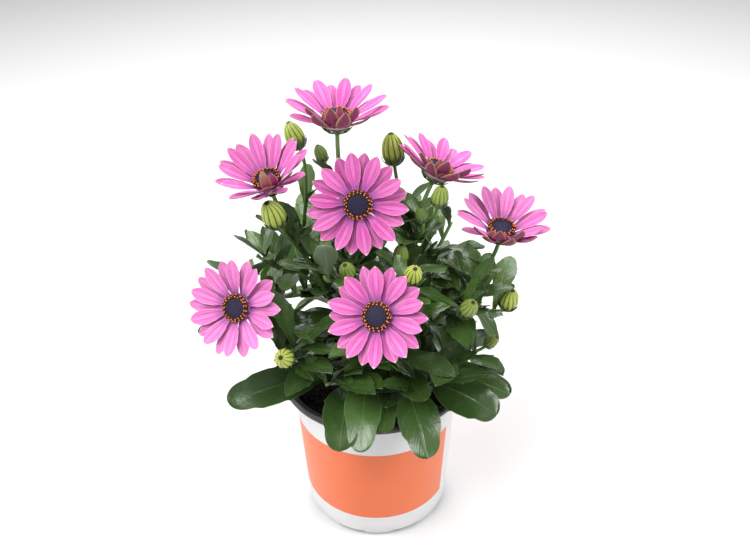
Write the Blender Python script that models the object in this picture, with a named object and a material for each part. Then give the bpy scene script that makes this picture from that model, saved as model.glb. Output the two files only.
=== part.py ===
"""Osteospermum in a 12 cm nursery pot: seven blooms, fourteen buds and their leafy stems.

Metres, +Z up. The origin is the middle of the pot's flat base, and the photographed side faces -Y.
"""
import math
import random

import bmesh
import bpy
from mathutils import Matrix, Vector
from mathutils.bvhtree import BVHTree
from mathutils.noise import noise

MM = 0.001
GAP = 0.3 * MM
UP = Vector((0, 0, 1))

# Pot
FEET = 8
FOOT_PERIOD = 360 / FEET
FOOT_HALF = 9.5
FOOT_RAMP = 3.0
CHANNEL_HEIGHT = 3.6 * MM
BASE_THICKNESS = 1.2 * MM
BASE_PAD_RADIUS = 17 * MM
BASE_RADIUS = 44.3 * MM
DRAIN_RADII = (36 * MM, 39.6 * MM)
WALL_THICKNESS = 1.0 * MM
WALL_FOOT = (5.2 * MM, 47.4 * MM)
SHOULDER_HEIGHT = 97 * MM
SHOULDER_RADIUS = 52.3 * MM
SHOULDER_STEP = 1.3 * MM
RIM_HEIGHT = 108 * MM
RIM_RADIUS = 60 * MM
RIM_DEPTH = 4.2 * MM

# Soil
SOIL_HEIGHT = 98 * MM
SOIL_BUMP = 1.3 * MM
HOLE_DEPTH = 24 * MM
STEM_RADIUS = 1.9 * MM

# Blooms
PETALS_PER_LAYER = 10
PETAL_LENGTH = 21.4 * MM
PETAL_HALF_WIDTH = 4.0 * MM
PETAL_THICKNESS = 0.7 * MM
PETAL_OUTLINE = ((0.40, 0.88), (0.80, 0.90))
PLATE_RADIUS = 6.8 * MM
PLATE_HALF = 1.2 * MM
DISC_RADIUS = 8.0 * MM
DISC_FLORETS = 10
DISC_DEPTH = 2.6 * MM
CUP_RADIUS = 6.6 * MM
CUP_HEIGHT = 6 * MM
CUP_DROP = 0.7 * MM

# Leaves
LEAF_THICKNESS = 0.9 * MM
LEAF_SLENDER = 0.19
GOLDEN_ANGLE = 137.5
BROAD_OUTLINE = ((0.0, 0.12), (0.30, 0.36), (0.52, 0.88), (0.70, 1.0), (0.88, 0.74))
TOOTHED_OUTLINE = ((0.0, 0.12), (0.32, 0.45), (0.62, 1.0), (0.70, 0.82))
PLAIN_OUTLINE = ((0.0, 0.14), (0.38, 0.66), (0.72, 0.92))
LEAF_TRIES = (
    (0, 0, 1.0), (18, 0, 1.0), (-18, 0, 1.0), (0, 14, 1.0), (0, -12, 1.0),
    (32, 8, 0.92), (-32, 8, 0.92), (0, 26, 0.9), (48, 0, 0.85), (-48, 0, 0.85),
    (20, 26, 0.8), (-20, 26, 0.8), (70, 10, 0.75), (-70, 10, 0.75), (0, 40, 0.7),
    (100, 16, 0.65), (-100, 16, 0.65), (0, 0, 0.6),
)

# Each bloom: disc center and axis, cup angle of the petals in degrees, length of the petals by the usual.
BLOOMS = {
    "top": {"disc": (-17, -14, 282.5), "axis": (0.03, -0.09, 1.0), "cup": 31, "long": 1.05},
    "center": {"disc": (-7.4, -30, 238.5), "axis": (0.0, -0.92, 0.38), "cup": 6, "long": 0.95},
    "low_front": {"disc": (1, -72, 197), "axis": (-0.26, -0.84, 0.60), "cup": 14, "long": 0.92},
    "left": {"disc": (-75.5, -45, 185), "axis": (-0.33, -0.82, 0.53), "cup": 19, "long": 1.0},
    "upper_left": {"disc": (-56, -15, 248), "axis": (-0.18, -0.30, 0.94), "cup": 42, "long": 1.06},
    "upper_right": {"disc": (36.7, -10, 250.7), "axis": (0.38, 0.02, 0.92), "cup": 28, "long": 0.97},
    "right": {"disc": (72, -12, 214), "axis": (0.05, -0.24, 0.97), "cup": 33, "long": 1.06},
}

# Each stem: where it stands in the soil, then its end (a bloom or a leafy tip) and its side shoots.
# A shoot leaves the stem at a share of its length and ends at a point with an axis.
STEMS = {
    "left": {
        "root": (-11, -6), "bloom": "left", "leaves": (0.18, 0.78, 7),
        "shoots": (
            {"at": 0.42, "tip": (-47, -66, 166), "axis": (-0.1, -0.75, 0.65), "bud": 5.2, "leaves": 2},
            {"at": 0.50, "tip": (-74, -12, 178), "axis": (-0.55, -0.05, 0.8), "leaves": 4},
            {"at": 0.26, "tip": (-56, -34, 138), "axis": (-0.75, -0.45, 0.5), "leaves": 4},
        ),
    },
    "upper_left": {
        "root": (-8, 5), "bloom": "upper_left", "leaves": (0.20, 0.74, 7),
        "shoots": (
            {"at": 0.62, "tip": (-50, -24, 224), "axis": (-0.25, -0.35, 0.9), "bud": 6.4, "leaves": 1},
            {"at": 0.60, "tip": (-39, 8, 254), "axis": (-0.35, 0.1, 0.93), "bud": 5.4, "leaves": 1},
            {"at": 0.45, "tip": (-66, -8, 196), "axis": (-0.4, -0.2, 0.9), "leaves": 4},
        ),
    },
    "top": {
        "root": (-2, 10), "bloom": "top", "leaves": (0.20, 0.68, 7),
        "shoots": (
            {"at": 0.70, "tip": (-26, 6, 247), "axis": (-0.3, -0.1, 0.95), "bud": 3.6, "leaves": 1},
            {"at": 0.40, "tip": (-28, 30, 196), "axis": (-0.3, 0.5, 0.8), "leaves": 4},
        ),
    },
    "center": {
        "root": (-3, -3), "bloom": "center", "leaves": (0.20, 0.72, 8),
        "shoots": (
            {"at": 0.60, "tip": (-13, -34, 197), "axis": (-0.15, -0.5, 0.85), "bud": 4.6, "leaves": 1},
            {"at": 0.48, "tip": (-26, -44, 204), "axis": (-0.1, -0.3, 0.95), "leaves": 4},
        ),
    },
    "upper_right": {
        "root": (6, 6), "bloom": "upper_right", "leaves": (0.20, 0.70, 7),
        "shoots": (
            {"at": 0.62, "tip": (12.6, 2, 246.3), "axis": (-0.1, 0.0, 0.98), "bud": 6.2, "leaves": 1},
            {"at": 0.66, "tip": (35, -26, 235), "axis": (0.1, -0.25, 0.95), "bud": 4.6, "leaves": 1},
            {"at": 0.58, "tip": (27, -24, 225), "axis": (-0.15, -0.3, 0.92), "bud": 3.6, "leaves": 1},
        ),
    },
    "right": {
        "root": (11, -1), "bloom": "right", "leaves": (0.18, 0.78, 7),
        "shoots": (
            {"at": 0.55, "tip": (50, -44, 178), "axis": (0.2, -0.5, 0.84), "bud": 4.8, "leaves": 3},
            {"at": 0.50, "tip": (78, -14, 160), "axis": (0.1, -0.3, 0.95), "bud": 5.6, "leaves": 4},
        ),
    },
    "low_front": {
        "root": (2, -11), "bloom": "low_front", "leaves": (0.22, 0.74, 7),
        "shoots": (
            {"at": 0.62, "tip": (20, -48, 203), "axis": (0.1, -0.55, 0.83), "bud": 4.8, "leaves": 1},
            {"at": 0.45, "tip": (15, -22, 197), "axis": (0.05, -0.1, 0.99), "bud": 4.4, "leaves": 3},
            {"at": 0.30, "tip": (-28, -50, 134), "axis": (-0.4, -0.75, 0.5), "leaves": 4},
        ),
    },
    "right_low": {
        "root": (13, -11), "tip": (50, -28, 134), "axis": (0.8, -0.35, 0.5), "leaves": (0.3, 0.97, 6),
        "shoots": (
            {"at": 0.70, "tip": (68, -14, 132), "axis": (0.5, -0.3, 0.8), "bud": 3.6, "leaves": 4},
            {"at": 0.35, "tip": (28, -48, 128), "axis": (0.35, -0.8, 0.5), "leaves": 4},
        ),
    },
    "back_left": {
        "root": (-9, 15), "tip": (-50, 44, 188), "axis": (-0.45, 0.35, 0.82), "leaves": (0.16, 0.97, 9),
        "shoots": (
            {"at": 0.45, "tip": (-66, 20, 150), "axis": (-0.8, 0.2, 0.55), "leaves": 4},
            {"at": 0.30, "tip": (-30, 56, 140), "axis": (-0.3, 0.8, 0.5), "leaves": 4},
        ),
    },
    "back_right": {
        "root": (9, 14), "tip": (50, 44, 186), "axis": (0.45, 0.35, 0.82), "leaves": (0.16, 0.97, 9),
        "shoots": (
            {"at": 0.45, "tip": (66, 18, 150), "axis": (0.8, 0.2, 0.55), "leaves": 4},
            {"at": 0.30, "tip": (26, 58, 140), "axis": (0.3, 0.8, 0.5), "leaves": 4},
            {"at": 0.62, "tip": (14, 44, 196), "axis": (-0.1, 0.3, 0.95), "bud": 5.0, "leaves": 3},
        ),
    },
}

SHOWN_LIFTS = (0, 3, 6, 9, 12, 16, 20, -4)

# The large leaves that the photographed side shows: stem, path on it (the stem itself is 0, its
# shoots follow), share of that path, tip, half width, arch, how far it turns its face to the front.
SHOWN_LEAVES = (
    ("left", 0, 0.10, (-86, -48, 121), 11.5, 0.13, 0.7),
    ("left", 0, 0.04, (-21, -78, 109), 12.5, 0.18, 0.0),
    ("center", 0, 0.06, (-9, -79, 103), 11.0, 0.21, 0.0),
    ("low_front", 0, 0.15, (5, -69, 114), 8.0, 0.14, 0.0),
    ("right_low", 0, 0.10, (29, -73, 91), 12.5, 0.22, 0.0),
    ("right_low", 0, 0.30, (71, -51, 110), 13.0, 0.14, 0.6),
    ("right", 0, 0.10, (80, -40, 120), 9.5, 0.12, 0.5),
    ("low_front", 0, 0.28, (28, -63, 133), 9.0, 0.08, 0.3),
    ("left", 2, 0.60, (-91, -24, 202), 8.5, 0.06, 0.0),
    ("upper_left", 3, 0.66, (-75, -20, 216), 6.5, 0.04, 0.0),
    ("center", 2, 0.86, (-24, -58, 231), 6.5, 0.03, 0.0),
    ("center", 2, 0.66, (-46, -60, 222), 7.0, 0.06, 0.0),
)
# The large leaves have the low front to themselves: no other tip reaches past this depth and below this height.
FRONT_LIMIT = (-50 * MM, 125 * MM)


def at(x, y, z):
    """A point given in millimetres."""
    return Vector((x, y, z)) * MM


def axis_frame(axis, turn=0.0):
    """A rotation that takes +Z to the axis, turned about it."""
    return axis.to_track_quat("Z", "Y").to_matrix() @ Matrix.Rotation(turn, 3, "Z")


class Shell:
    """One closed surface: points and faces that face out."""

    def __init__(self):
        self.points = []
        self.faces = []
        self.rooted = 0

    def ring(self, points):
        first = len(self.points)
        self.points.extend(points)
        return list(range(first, first + len(points)))

    def bridge(self, lower, upper):
        count = len(lower)
        for index in range(count):
            following = (index + 1) % count
            self.faces.append((lower[index], lower[following], upper[following]))
            self.faces.append((lower[index], upper[following], upper[index]))

    def fan(self, center, ring, facing_out):
        pole = self.ring([center])[0]
        count = len(ring)
        for index in range(count):
            pair = (ring[index], ring[(index + 1) % count])
            if facing_out:
                pair = pair[::-1]
            self.faces.append((pole, pair[1], pair[0]))

    def moved(self, rotation, origin):
        self.points = [rotation @ point + origin for point in self.points]
        return self

    def tree(self):
        return BVHTree.FromPolygons(self.points, self.faces)

    def free_tree(self):
        """The part past the root, which no piece of the same stem may cross either."""
        faces = [face for face in self.faces if min(face) >= self.rooted]
        return BVHTree.FromPolygons(self.points, faces)

    def box(self):
        low = Vector([min(point[axis] for point in self.points) for axis in range(3)])
        high = Vector([max(point[axis] for point in self.points) for axis in range(3)])
        return low, high


def lathe(rings):
    """A closed turned surface from the bottom pole up: each ring is a list of points or one pole."""
    shell = Shell()
    previous = None
    for place, points in enumerate(rings):
        if len(points) == 1:
            if previous is None:
                bottom = points[0]
            else:
                shell.fan(points[0], previous, True)
            continue
        current = shell.ring(points)
        if previous is None:
            shell.fan(bottom, current, False)
        else:
            shell.bridge(previous, current)
        previous = current
    return shell


def circle(radius, height, sides, wave=0.0, waves=0):
    """A ring of points, with a wave of its radius if one is given."""
    points = []
    for index in range(sides):
        angle = 2 * math.pi * index / sides
        reach = radius * (1 + wave * math.cos(waves * angle))
        points.append(Vector((reach * math.cos(angle), reach * math.sin(angle), height)))
    return points


def tube(centers, radii, sides):
    """A closed tube along the centres, its frame carried from ring to ring."""
    shell = Shell()
    side = Vector((1, 0, 0))
    previous = None
    last = len(centers) - 1
    for index, center in enumerate(centers):
        ahead = centers[min(index + 1, last)] - centers[max(index - 1, 0)]
        ahead.normalize()
        side = (side - ahead * side.dot(ahead)).normalized()
        other = ahead.cross(side)
        points = []
        for corner in range(sides):
            angle = 2 * math.pi * corner / sides
            points.append(center + (side * math.cos(angle) + other * math.sin(angle)) * radii[index])
        current = shell.ring(points)
        if previous is None:
            shell.fan(center, current, False)
        else:
            shell.bridge(previous, current)
        previous = current
    shell.fan(centers[-1], previous, True)
    return shell


def blade(base, tip, up, half_width, outline, arch, fold, thickness):
    """A leaf or a petal: a thin blade with a keel below, along an arched midrib."""
    length = (tip - base).length
    crown = (base + tip) * 0.5 + up * arch * length * 2
    side = (tip - base).cross(up).normalized()
    shell = Shell()
    previous = None
    for share, width in outline:
        center = base.lerp(crown, share).lerp(crown.lerp(tip, share), share)
        ahead = (crown - base).lerp(tip - crown, share).normalized()
        above = side.cross(ahead)
        reach = side * half_width * width
        keel = above * (thickness + half_width * width * fold)
        section = shell.ring([center + reach, center - reach, center - keel])
        if previous is None:
            shell.faces.append((section[0], section[1], section[2]))
        else:
            shell.bridge(previous, section)
        previous = section
    shell.fan(tip, previous, True)
    flip_if_inside_out(shell)
    shell.rooted = 3
    return shell


def flip_if_inside_out(shell):
    volume = 0.0
    origin = shell.points[0]
    for face in shell.faces:
        first, second, third = (shell.points[index] - origin for index in face)
        volume += first.dot(second.cross(third))
    if volume < 0:
        shell.faces = [face[::-1] for face in shell.faces]


class Path:
    """A smooth stem line from a start to a tip, read at any share of its length."""

    def __init__(self, start, heading, tip, axis, stiffness=0.9):
        reach = (tip - start).length * stiffness
        self.corners = (start, start + heading * reach / 3, tip - axis * reach / 3, tip)

    def point(self, share):
        a, b, c, d = self.corners
        rest = 1 - share
        return a * rest ** 3 + b * 3 * rest ** 2 * share + c * 3 * rest * share ** 2 + d * share ** 3

    def heading(self, share):
        a, b, c, d = self.corners
        rest = 1 - share
        slope = (b - a) * rest ** 2 + (c - b) * 2 * rest * share + (d - c) * share ** 2
        return slope.normalized()


def stem_tube(path, start_radius, end_radius, count, sides, sink=0.0):
    shares = [index / (count - 1) for index in range(count)]
    centers = [path.point(share) for share in shares]
    radii = [start_radius + (end_radius - start_radius) * share for share in shares]
    if sink:
        centers.insert(0, centers[0] - UP * sink)
        radii.insert(0, start_radius)
    return tube(centers, radii, sides)


def pot_rings():
    """The pot's rings from the middle of its underside, over the rim, to the middle of its inside."""
    angles = []
    for foot in range(FEET):
        middle = foot * FOOT_PERIOD
        half_channel = FOOT_PERIOD / 2
        for offset in (-FOOT_HALF, 0, FOOT_HALF, FOOT_HALF + FOOT_RAMP, half_channel,
                       FOOT_PERIOD - FOOT_HALF - FOOT_RAMP):
            angles.append((middle + offset, abs(offset) > FOOT_HALF))

    def ring(radius, height, channel=0.0):
        points = []
        for angle, in_channel in angles:
            turn = math.radians(angle - 90)
            raised = height + (channel if in_channel else 0.0)
            points.append(Vector((radius * math.cos(turn), radius * math.sin(turn), raised)))
        return points

    base_rows = ((BASE_PAD_RADIUS, 0), (BASE_PAD_RADIUS + 4 * MM, 1), (DRAIN_RADII[0], 1),
                 (DRAIN_RADII[1], 1), (BASE_RADIUS, 1))
    outer = [ring(radius, 0, CHANNEL_HEIGHT * raised) for radius, raised in base_rows]
    outer += [ring(WALL_FOOT[1], WALL_FOOT[0])]
    wall = ((SHOULDER_RADIUS, SHOULDER_HEIGHT), (SHOULDER_RADIUS + SHOULDER_STEP, SHOULDER_HEIGHT + 1.6 * MM))
    outer += [ring(radius, height) for radius, height in wall]
    lip = RIM_HEIGHT - RIM_DEPTH
    rim = ((SHOULDER_RADIUS + SHOULDER_STEP + 0.3 * MM, lip - 1.2 * MM), (RIM_RADIUS, lip),
           (RIM_RADIUS, RIM_HEIGHT - 1.4 * MM), (RIM_RADIUS - 2.2 * MM, RIM_HEIGHT), (SHOULDER_RADIUS + SHOULDER_STEP - 0.7 * MM, lip - 1.0 * MM))
    outer += [ring(radius, height) for radius, height in rim]
    inner = [ring(wall[0][0] - WALL_THICKNESS, wall[0][1])]
    inner.append(ring(WALL_FOOT[1] - WALL_THICKNESS, WALL_FOOT[0] + WALL_THICKNESS))
    inner += [ring(radius, BASE_THICKNESS, CHANNEL_HEIGHT * raised) for radius, raised in base_rows[::-1]]
    return outer, inner


def pot():
    outer, inner = pot_rings()
    shell = Shell()
    rows = [shell.ring(points) for points in outer + inner]
    count = len(rows[0])
    drain_row = 2
    inner_drain_row = len(rows) - 1 - drain_row - 1
    for place in range(len(rows) - 1):
        for index in range(count):
            in_drain = index % 6 == 3 and place in (drain_row, inner_drain_row)
            if in_drain:
                continue
            following = (index + 1) % count
            lower, upper = rows[place], rows[place + 1]
            shell.faces.append((lower[index], lower[following], upper[following], upper[index]))
    for index in range(3, count, 6):
        under = (rows[drain_row][index], rows[drain_row][index + 1],
                 rows[drain_row + 1][index + 1], rows[drain_row + 1][index])
        above = (rows[inner_drain_row + 1][index], rows[inner_drain_row + 1][index + 1],
                 rows[inner_drain_row][index + 1], rows[inner_drain_row][index])
        for corner in range(4):
            following = (corner + 1) % 4
            shell.faces.append((under[corner], under[following], above[following], above[corner]))
    shell.fan(Vector((0, 0, 0)), rows[0], False)
    shell.fan(Vector((0, 0, BASE_THICKNESS)), rows[-1], True)
    return shell


def soil_top(radius, angle):
    spot = Vector((radius * math.cos(angle), radius * math.sin(angle), 0)) * 90
    return SOIL_HEIGHT + SOIL_BUMP * noise(spot)


def soil():
    offsets = (-FOOT_HALF, FOOT_HALF, FOOT_PERIOD / 2)
    angles = [math.radians(foot * FOOT_PERIOD + offset - 90) for foot in range(FEET) for offset in offsets]

    def ring(radius, height=None):
        points = []
        for angle in angles:
            top = soil_top(radius, angle) if height is None else height
            points.append(Vector((radius * math.cos(angle), radius * math.sin(angle), top)))
        return points

    def inside(radius):
        return radius - WALL_THICKNESS - GAP

    floor = CHANNEL_HEIGHT + BASE_THICKNESS + GAP
    rings = [[Vector((0, 0, floor))], ring(BASE_RADIUS - 2 * MM, floor),
             ring(inside(WALL_FOOT[1]), WALL_FOOT[0] + 2 * MM),
             ring(inside(SHOULDER_RADIUS) - 0.1 * MM, SHOULDER_HEIGHT - 2 * MM)]
    rings += [ring(radius * MM) for radius in (49.5, 30)]
    rings.append([Vector((0, 0, soil_top(0, 0)))])
    return lathe(rings)


def bloom_place(bloom):
    axis = Vector(bloom["axis"]).normalized()
    return at(*bloom["disc"]) - axis * disc_height(bloom), axis


def disc_height(bloom):
    return PLATE_HALF + DISC_DEPTH + (DISC_RADIUS - PLATE_RADIUS) * math.tan(math.radians(bloom["cup"]))


def rays(name, bloom):
    """Two layers of petals grown out of the side of a small plate, as one surface."""
    origin, axis = bloom_place(bloom)
    draw = random.Random("rays " + name)
    sides = PETALS_PER_LAYER * 2
    plate = Shell()
    rows = [plate.ring(circle(PLATE_RADIUS, height, sides)) for height in (-PLATE_HALF, 0, PLATE_HALF)]
    plate.fan(Vector((0, 0, -PLATE_HALF)), rows[0], False)
    plate.fan(Vector((0, 0, PLATE_HALF)), rows[2], True)
    for layer in (0, 1):
        lower, upper = rows[layer], rows[layer + 1]
        for index in range(sides):
            following = (index + 1) % sides
            root = (upper[following], upper[index], lower[index], lower[following])
            if index % 2 != layer:
                plate.faces.append((root[0], root[1], root[2]))
                plate.faces.append((root[0], root[2], root[3]))
                continue
            turn = 2 * math.pi * (index + 0.5) / sides + math.radians(draw.uniform(-2.5, 2.5))
            cup_angle = math.radians(bloom["cup"] + draw.uniform(-1.5, 1.5)
                                     - (1 - layer) * (4 + 0.13 * bloom["cup"]))
            length = PETAL_LENGTH * bloom["long"] * draw.uniform(0.94, 1.03)
            petal(plate, root, turn, cup_angle, length, PLATE_HALF * (layer - 0.5))
    return [plate.moved(axis_frame(axis), origin)]


def petal(plate, root, turn, cup_angle, length, height):
    """One petal from a side face of the plate: a blade with a keel below."""
    outward = Vector((math.cos(turn), math.sin(turn), 0))
    side = Vector((-outward.y, outward.x, 0))
    start = outward * PLATE_RADIUS + UP * (height + PETAL_THICKNESS * 0.5)
    ahead = outward * math.cos(cup_angle) + UP * math.sin(cup_angle)
    above = UP * math.cos(cup_angle) - outward * math.sin(cup_angle)
    left, right, keel_right, keel_left = root
    for share, width in PETAL_OUTLINE:
        center = start + ahead * length * share + above * length * 0.14 * share * (1 - share)
        half = PETAL_HALF_WIDTH * width
        section = plate.ring([center + side * half, center - side * half, center - above * PETAL_THICKNESS])
        plate.faces.append((left, right, section[1], section[0]))
        plate.faces.append((right, keel_right, section[2], section[1]))
        plate.faces.append((keel_left, left, section[0], section[2]))
        if keel_left != keel_right:
            plate.faces.append((keel_right, keel_left, section[2]))
        left, right = section[:2]
        keel_left = keel_right = section[2]
    tip = plate.ring([start + ahead * length])[0]
    plate.faces.append((left, right, tip))
    plate.faces.append((right, keel_right, tip))
    plate.faces.append((keel_left, left, tip))


def disc(bloom):
    """The dark middle: a dome of florets with a raised ring of open ones round it."""
    origin, axis = bloom_place(bloom)
    slope = math.tan(math.radians(bloom["cup"] + 3))
    foot = PLATE_HALF + GAP
    edge = (DISC_RADIUS - PLATE_RADIUS) * slope + PLATE_HALF + GAP + 0.5 * MM
    top = disc_height(bloom)
    sides = DISC_FLORETS * 2
    rings = [[Vector((0, 0, foot))], circle(PLATE_RADIUS - 0.6 * MM, foot, sides),
             circle(DISC_RADIUS, edge, sides, 0.05, DISC_FLORETS),
             circle(DISC_RADIUS - 1.0 * MM, top + 0.3 * MM, sides, 0.07, DISC_FLORETS),
             circle(DISC_RADIUS * 0.66, top - 0.5 * MM, sides),
             [Vector((0, 0, top + 0.4 * MM))]]
    return lathe(rings).moved(axis_frame(axis), origin)


def cup(origin, axis):
    """The green cup under a bloom, its rim cut into pointed bracts."""
    under = -PLATE_HALF - GAP
    rings = [[Vector((0, 0, under - CUP_HEIGHT))], circle(1.3 * MM, under - CUP_HEIGHT, 10),
             circle(CUP_RADIUS * 0.8, under - CUP_HEIGHT * 0.5, 10),
             circle(CUP_RADIUS, under - CUP_DROP, 10, 0.12, 5),
             circle(PLATE_RADIUS - 0.7 * MM, under, 10), [Vector((0, 0, under))]]
    return lathe(rings).moved(axis_frame(axis), origin)


def bud(tip, axis, radius):
    """A ribbed bud: bracts closed to a blunt point."""
    length = radius * 2.6
    rings = [[Vector((0, 0, -0.5 * MM))]]
    for share, width in ((0.0, 0.45), (0.30, 1.0), (0.62, 0.92), (0.88, 0.5)):
        rings.append(circle(radius * width, length * share, 6))
    rings.append([Vector((0, 0, length))])
    return lathe(rings).moved(axis_frame(axis), tip)


def leaf_from(path, share, azimuth, pitch, length, toothed):
    """A leaf on a stem: it leaves at an azimuth round the stem and a pitch above its cross plane."""
    base = path.point(share)
    heading = path.heading(share)
    level = Vector((math.cos(azimuth), math.sin(azimuth), 0))
    outward = (level - heading * level.dot(heading)).normalized()
    direction = (outward * math.cos(pitch) + UP * math.sin(pitch)).normalized()
    tip = base + direction * length
    side = direction.cross(UP).normalized()
    above = side.cross(direction).normalized()
    outline = TOOTHED_OUTLINE if toothed else PLAIN_OUTLINE
    return blade(base, tip, above, length * LEAF_SLENDER, outline, 0.08, 0.12, LEAF_THICKNESS)


def leaf_plan(name, paths):
    """Every leaf of a stem in order: its path, place, azimuth, pitch, length and whether it is toothed."""
    draw = random.Random("leaves " + name)
    first, last, count = STEMS[name]["leaves"]
    azimuth = draw.uniform(0, 360)
    plan = []
    for index in range(count):
        share = first + (last - first) * index / (count - 1)
        height = paths[0].point(share).z
        rise = min(1.0, max(0.0, (height - SOIL_HEIGHT) / (110 * MM)))
        length = (58 - 30 * rise) * MM * draw.uniform(0.86, 1.1)
        plan.append((0, share, azimuth, 6 + 38 * rise + draw.uniform(-6, 6), length, rise < 0.62))
        azimuth += GOLDEN_ANGLE + draw.uniform(-9, 9)
    for place, shoot in enumerate(STEMS[name]["shoots"], 1):
        leaves = shoot["leaves"]
        spread = draw.uniform(0, 360)
        for index in range(leaves):
            share = 0.42 + 0.55 * (index + 0.5) / leaves if "bud" not in shoot else 0.3 + 0.45 * (index + 0.5) / leaves
            height = paths[place].point(share).z
            rise = min(1.0, max(0.0, (height - SOIL_HEIGHT) / (110 * MM)))
            length = (46 - 20 * rise) * MM * draw.uniform(0.85, 1.1)
            plan.append((place, share, spread, 18 + 28 * rise + draw.uniform(-8, 8), length, rise < 0.4))
            spread += GOLDEN_ANGLE + draw.uniform(-9, 9)
    return plan


class Room:
    """What already stands near the plant, so that each new blade can be kept clear of it."""

    def __init__(self):
        self.entries = []

    def add(self, node, shell):
        self.entries.append((node, shell.tree(), shell.free_tree(), shell.box()))

    def in_the_way(self, node, shell):
        """The first node that the shell would cross, its own root left out on its own stem."""
        low, high = shell.box()
        tree = shell.tree()
        free_tree = shell.free_tree()
        for other, other_tree, other_free, (other_low, other_high) in self.entries:
            if any(low[axis] > other_high[axis] or high[axis] < other_low[axis] for axis in range(3)):
                continue
            if other == node:
                crossing = free_tree.overlap(other_free)
            else:
                crossing = tree.overlap(other_tree)
            if crossing:
                return other
        return None

    def is_clear(self, node, shell):
        return self.in_the_way(node, shell) is None


def stem_paths(name):
    """The stem's own path first, then one for each side shoot."""
    stem = STEMS[name]
    root = Vector((stem["root"][0] * MM, stem["root"][1] * MM, SOIL_HEIGHT + SOIL_BUMP))
    lean = Vector((stem["root"][0], stem["root"][1], 34)).normalized()
    if "bloom" in stem:
        origin, axis = bloom_place(BLOOMS[stem["bloom"]])
        tip = origin - axis * (PLATE_HALF + GAP + CUP_HEIGHT * 0.9)
    else:
        tip = at(*stem["tip"])
        axis = Vector(stem["axis"]).normalized()
    paths = [Path(root, lean, tip, axis)]
    for shoot in stem["shoots"]:
        start = paths[0].point(shoot["at"])
        heading = paths[0].heading(shoot["at"])
        paths.append(Path(start, heading, at(*shoot["tip"]), Vector(shoot["axis"]).normalized()))
    return paths


def stem_frame(name, paths):
    """The tubes, cup and buds of a stem."""
    stem = STEMS[name]
    pieces = [stem_tube(paths[0], STEM_RADIUS, 1.1 * MM, 8, 5, sink=HOLE_DEPTH + SOIL_BUMP - GAP)]
    if "bloom" in stem:
        pieces.append(cup(*bloom_place(BLOOMS[stem["bloom"]])))
    for path, shoot in zip(paths[1:], stem["shoots"]):
        pieces.append(stem_tube(path, 1.15 * MM, 0.9 * MM, 5, 4))
        if "bud" in shoot:
            pieces.append(bud(path.point(1.0), path.heading(1.0), shoot["bud"] * MM))
    return pieces


def shown_leaf(path, share, tip, half_width, arch, face):
    base = path.point(share)
    side = (tip - base).cross(UP - Vector((0, face, 0))).normalized()
    above = side.cross(tip - base).normalized()
    return blade(base, tip, above, half_width * MM, BROAD_OUTLINE, arch, 0.12, LEAF_THICKNESS)


def grow():
    """Every node's closed pieces, by name."""
    nodes = {"pot": [pot()], "soil": [soil()]}
    room = Room()
    for node in ("pot", "soil"):
        room.add(node, nodes[node][0])
    paths = {name: stem_paths(name) for name in STEMS}
    for name in STEMS:
        nodes["stem_" + name] = stem_frame(name, paths[name])
    for name, bloom in BLOOMS.items():
        nodes["rays_" + name] = rays(name, bloom)
        nodes["disc_" + name] = [disc(bloom)]
    for node, pieces in nodes.items():
        if node in ("pot", "soil"):
            continue
        for piece in pieces:
            other = room.in_the_way(node, piece)
            if other not in (None, node, "soil"):
                print("crossing", node, other)
        for piece in pieces:
            room.add(node, piece)
    for name, place, share, tip, half_width, arch, face in SHOWN_LEAVES:
        node = "stem_" + name
        for lift in SHOWN_LIFTS:
            leaf = shown_leaf(paths[name][place], share, at(*tip) + UP * lift * MM, half_width, arch, face)
            if room.is_clear(node, leaf):
                nodes[node].append(leaf)
                room.add(node, leaf)
                break
        else:
            print("no room for the shown leaf at", tip, room.in_the_way(node, leaf))
    kept = 0
    dropped = 0
    for name in STEMS:
        node = "stem_" + name
        for place, share, azimuth, pitch, length, toothed in leaf_plan(name, paths[name]):
            for turn, lift, scale in LEAF_TRIES:
                leaf = leaf_from(paths[name][place], share, math.radians(azimuth + turn),
                                 math.radians(pitch + lift), length * scale, toothed)
                tip = leaf.points[-1]
                if tip.y < FRONT_LIMIT[0] and tip.z < FRONT_LIMIT[1]:
                    continue
                if room.is_clear(node, leaf):
                    nodes[node].append(leaf)
                    room.add(node, leaf)
                    kept += 1
                    break
            else:
                dropped += 1
    print("leaves kept", kept, "dropped", dropped)
    return nodes


def paint(name):
    """Each node's own material, by what it is made of."""
    looks = {
        "pot": ((0.86, 0.86, 0.84), 0.35), "soil": ((0.045, 0.032, 0.024), 0.95),
        "rays": ((0.78, 0.30, 0.62), 0.45), "disc": ((0.06, 0.045, 0.12), 0.6),
        "stem": ((0.16, 0.26, 0.09), 0.45),
    }
    color, roughness = looks[name.split("_")[0]]
    material = bpy.data.materials.new(name + "_finish")
    material.use_nodes = True
    shader = material.node_tree.nodes["Principled BSDF"]
    shader.inputs["Base Color"].default_value = (*color, 1)
    shader.inputs["Roughness"].default_value = roughness
    shader.inputs["Metallic"].default_value = 0
    return material


def solid(name, shell, collection):
    mesh = bpy.data.meshes.new(name)
    mesh.from_pydata(shell.points, [], shell.faces)
    body = bmesh.new()
    body.from_mesh(mesh)
    bmesh.ops.recalc_face_normals(body, faces=body.faces)
    body.to_mesh(mesh)
    body.free()
    item = bpy.data.objects.new(name, mesh)
    collection.objects.link(item)
    return item


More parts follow.
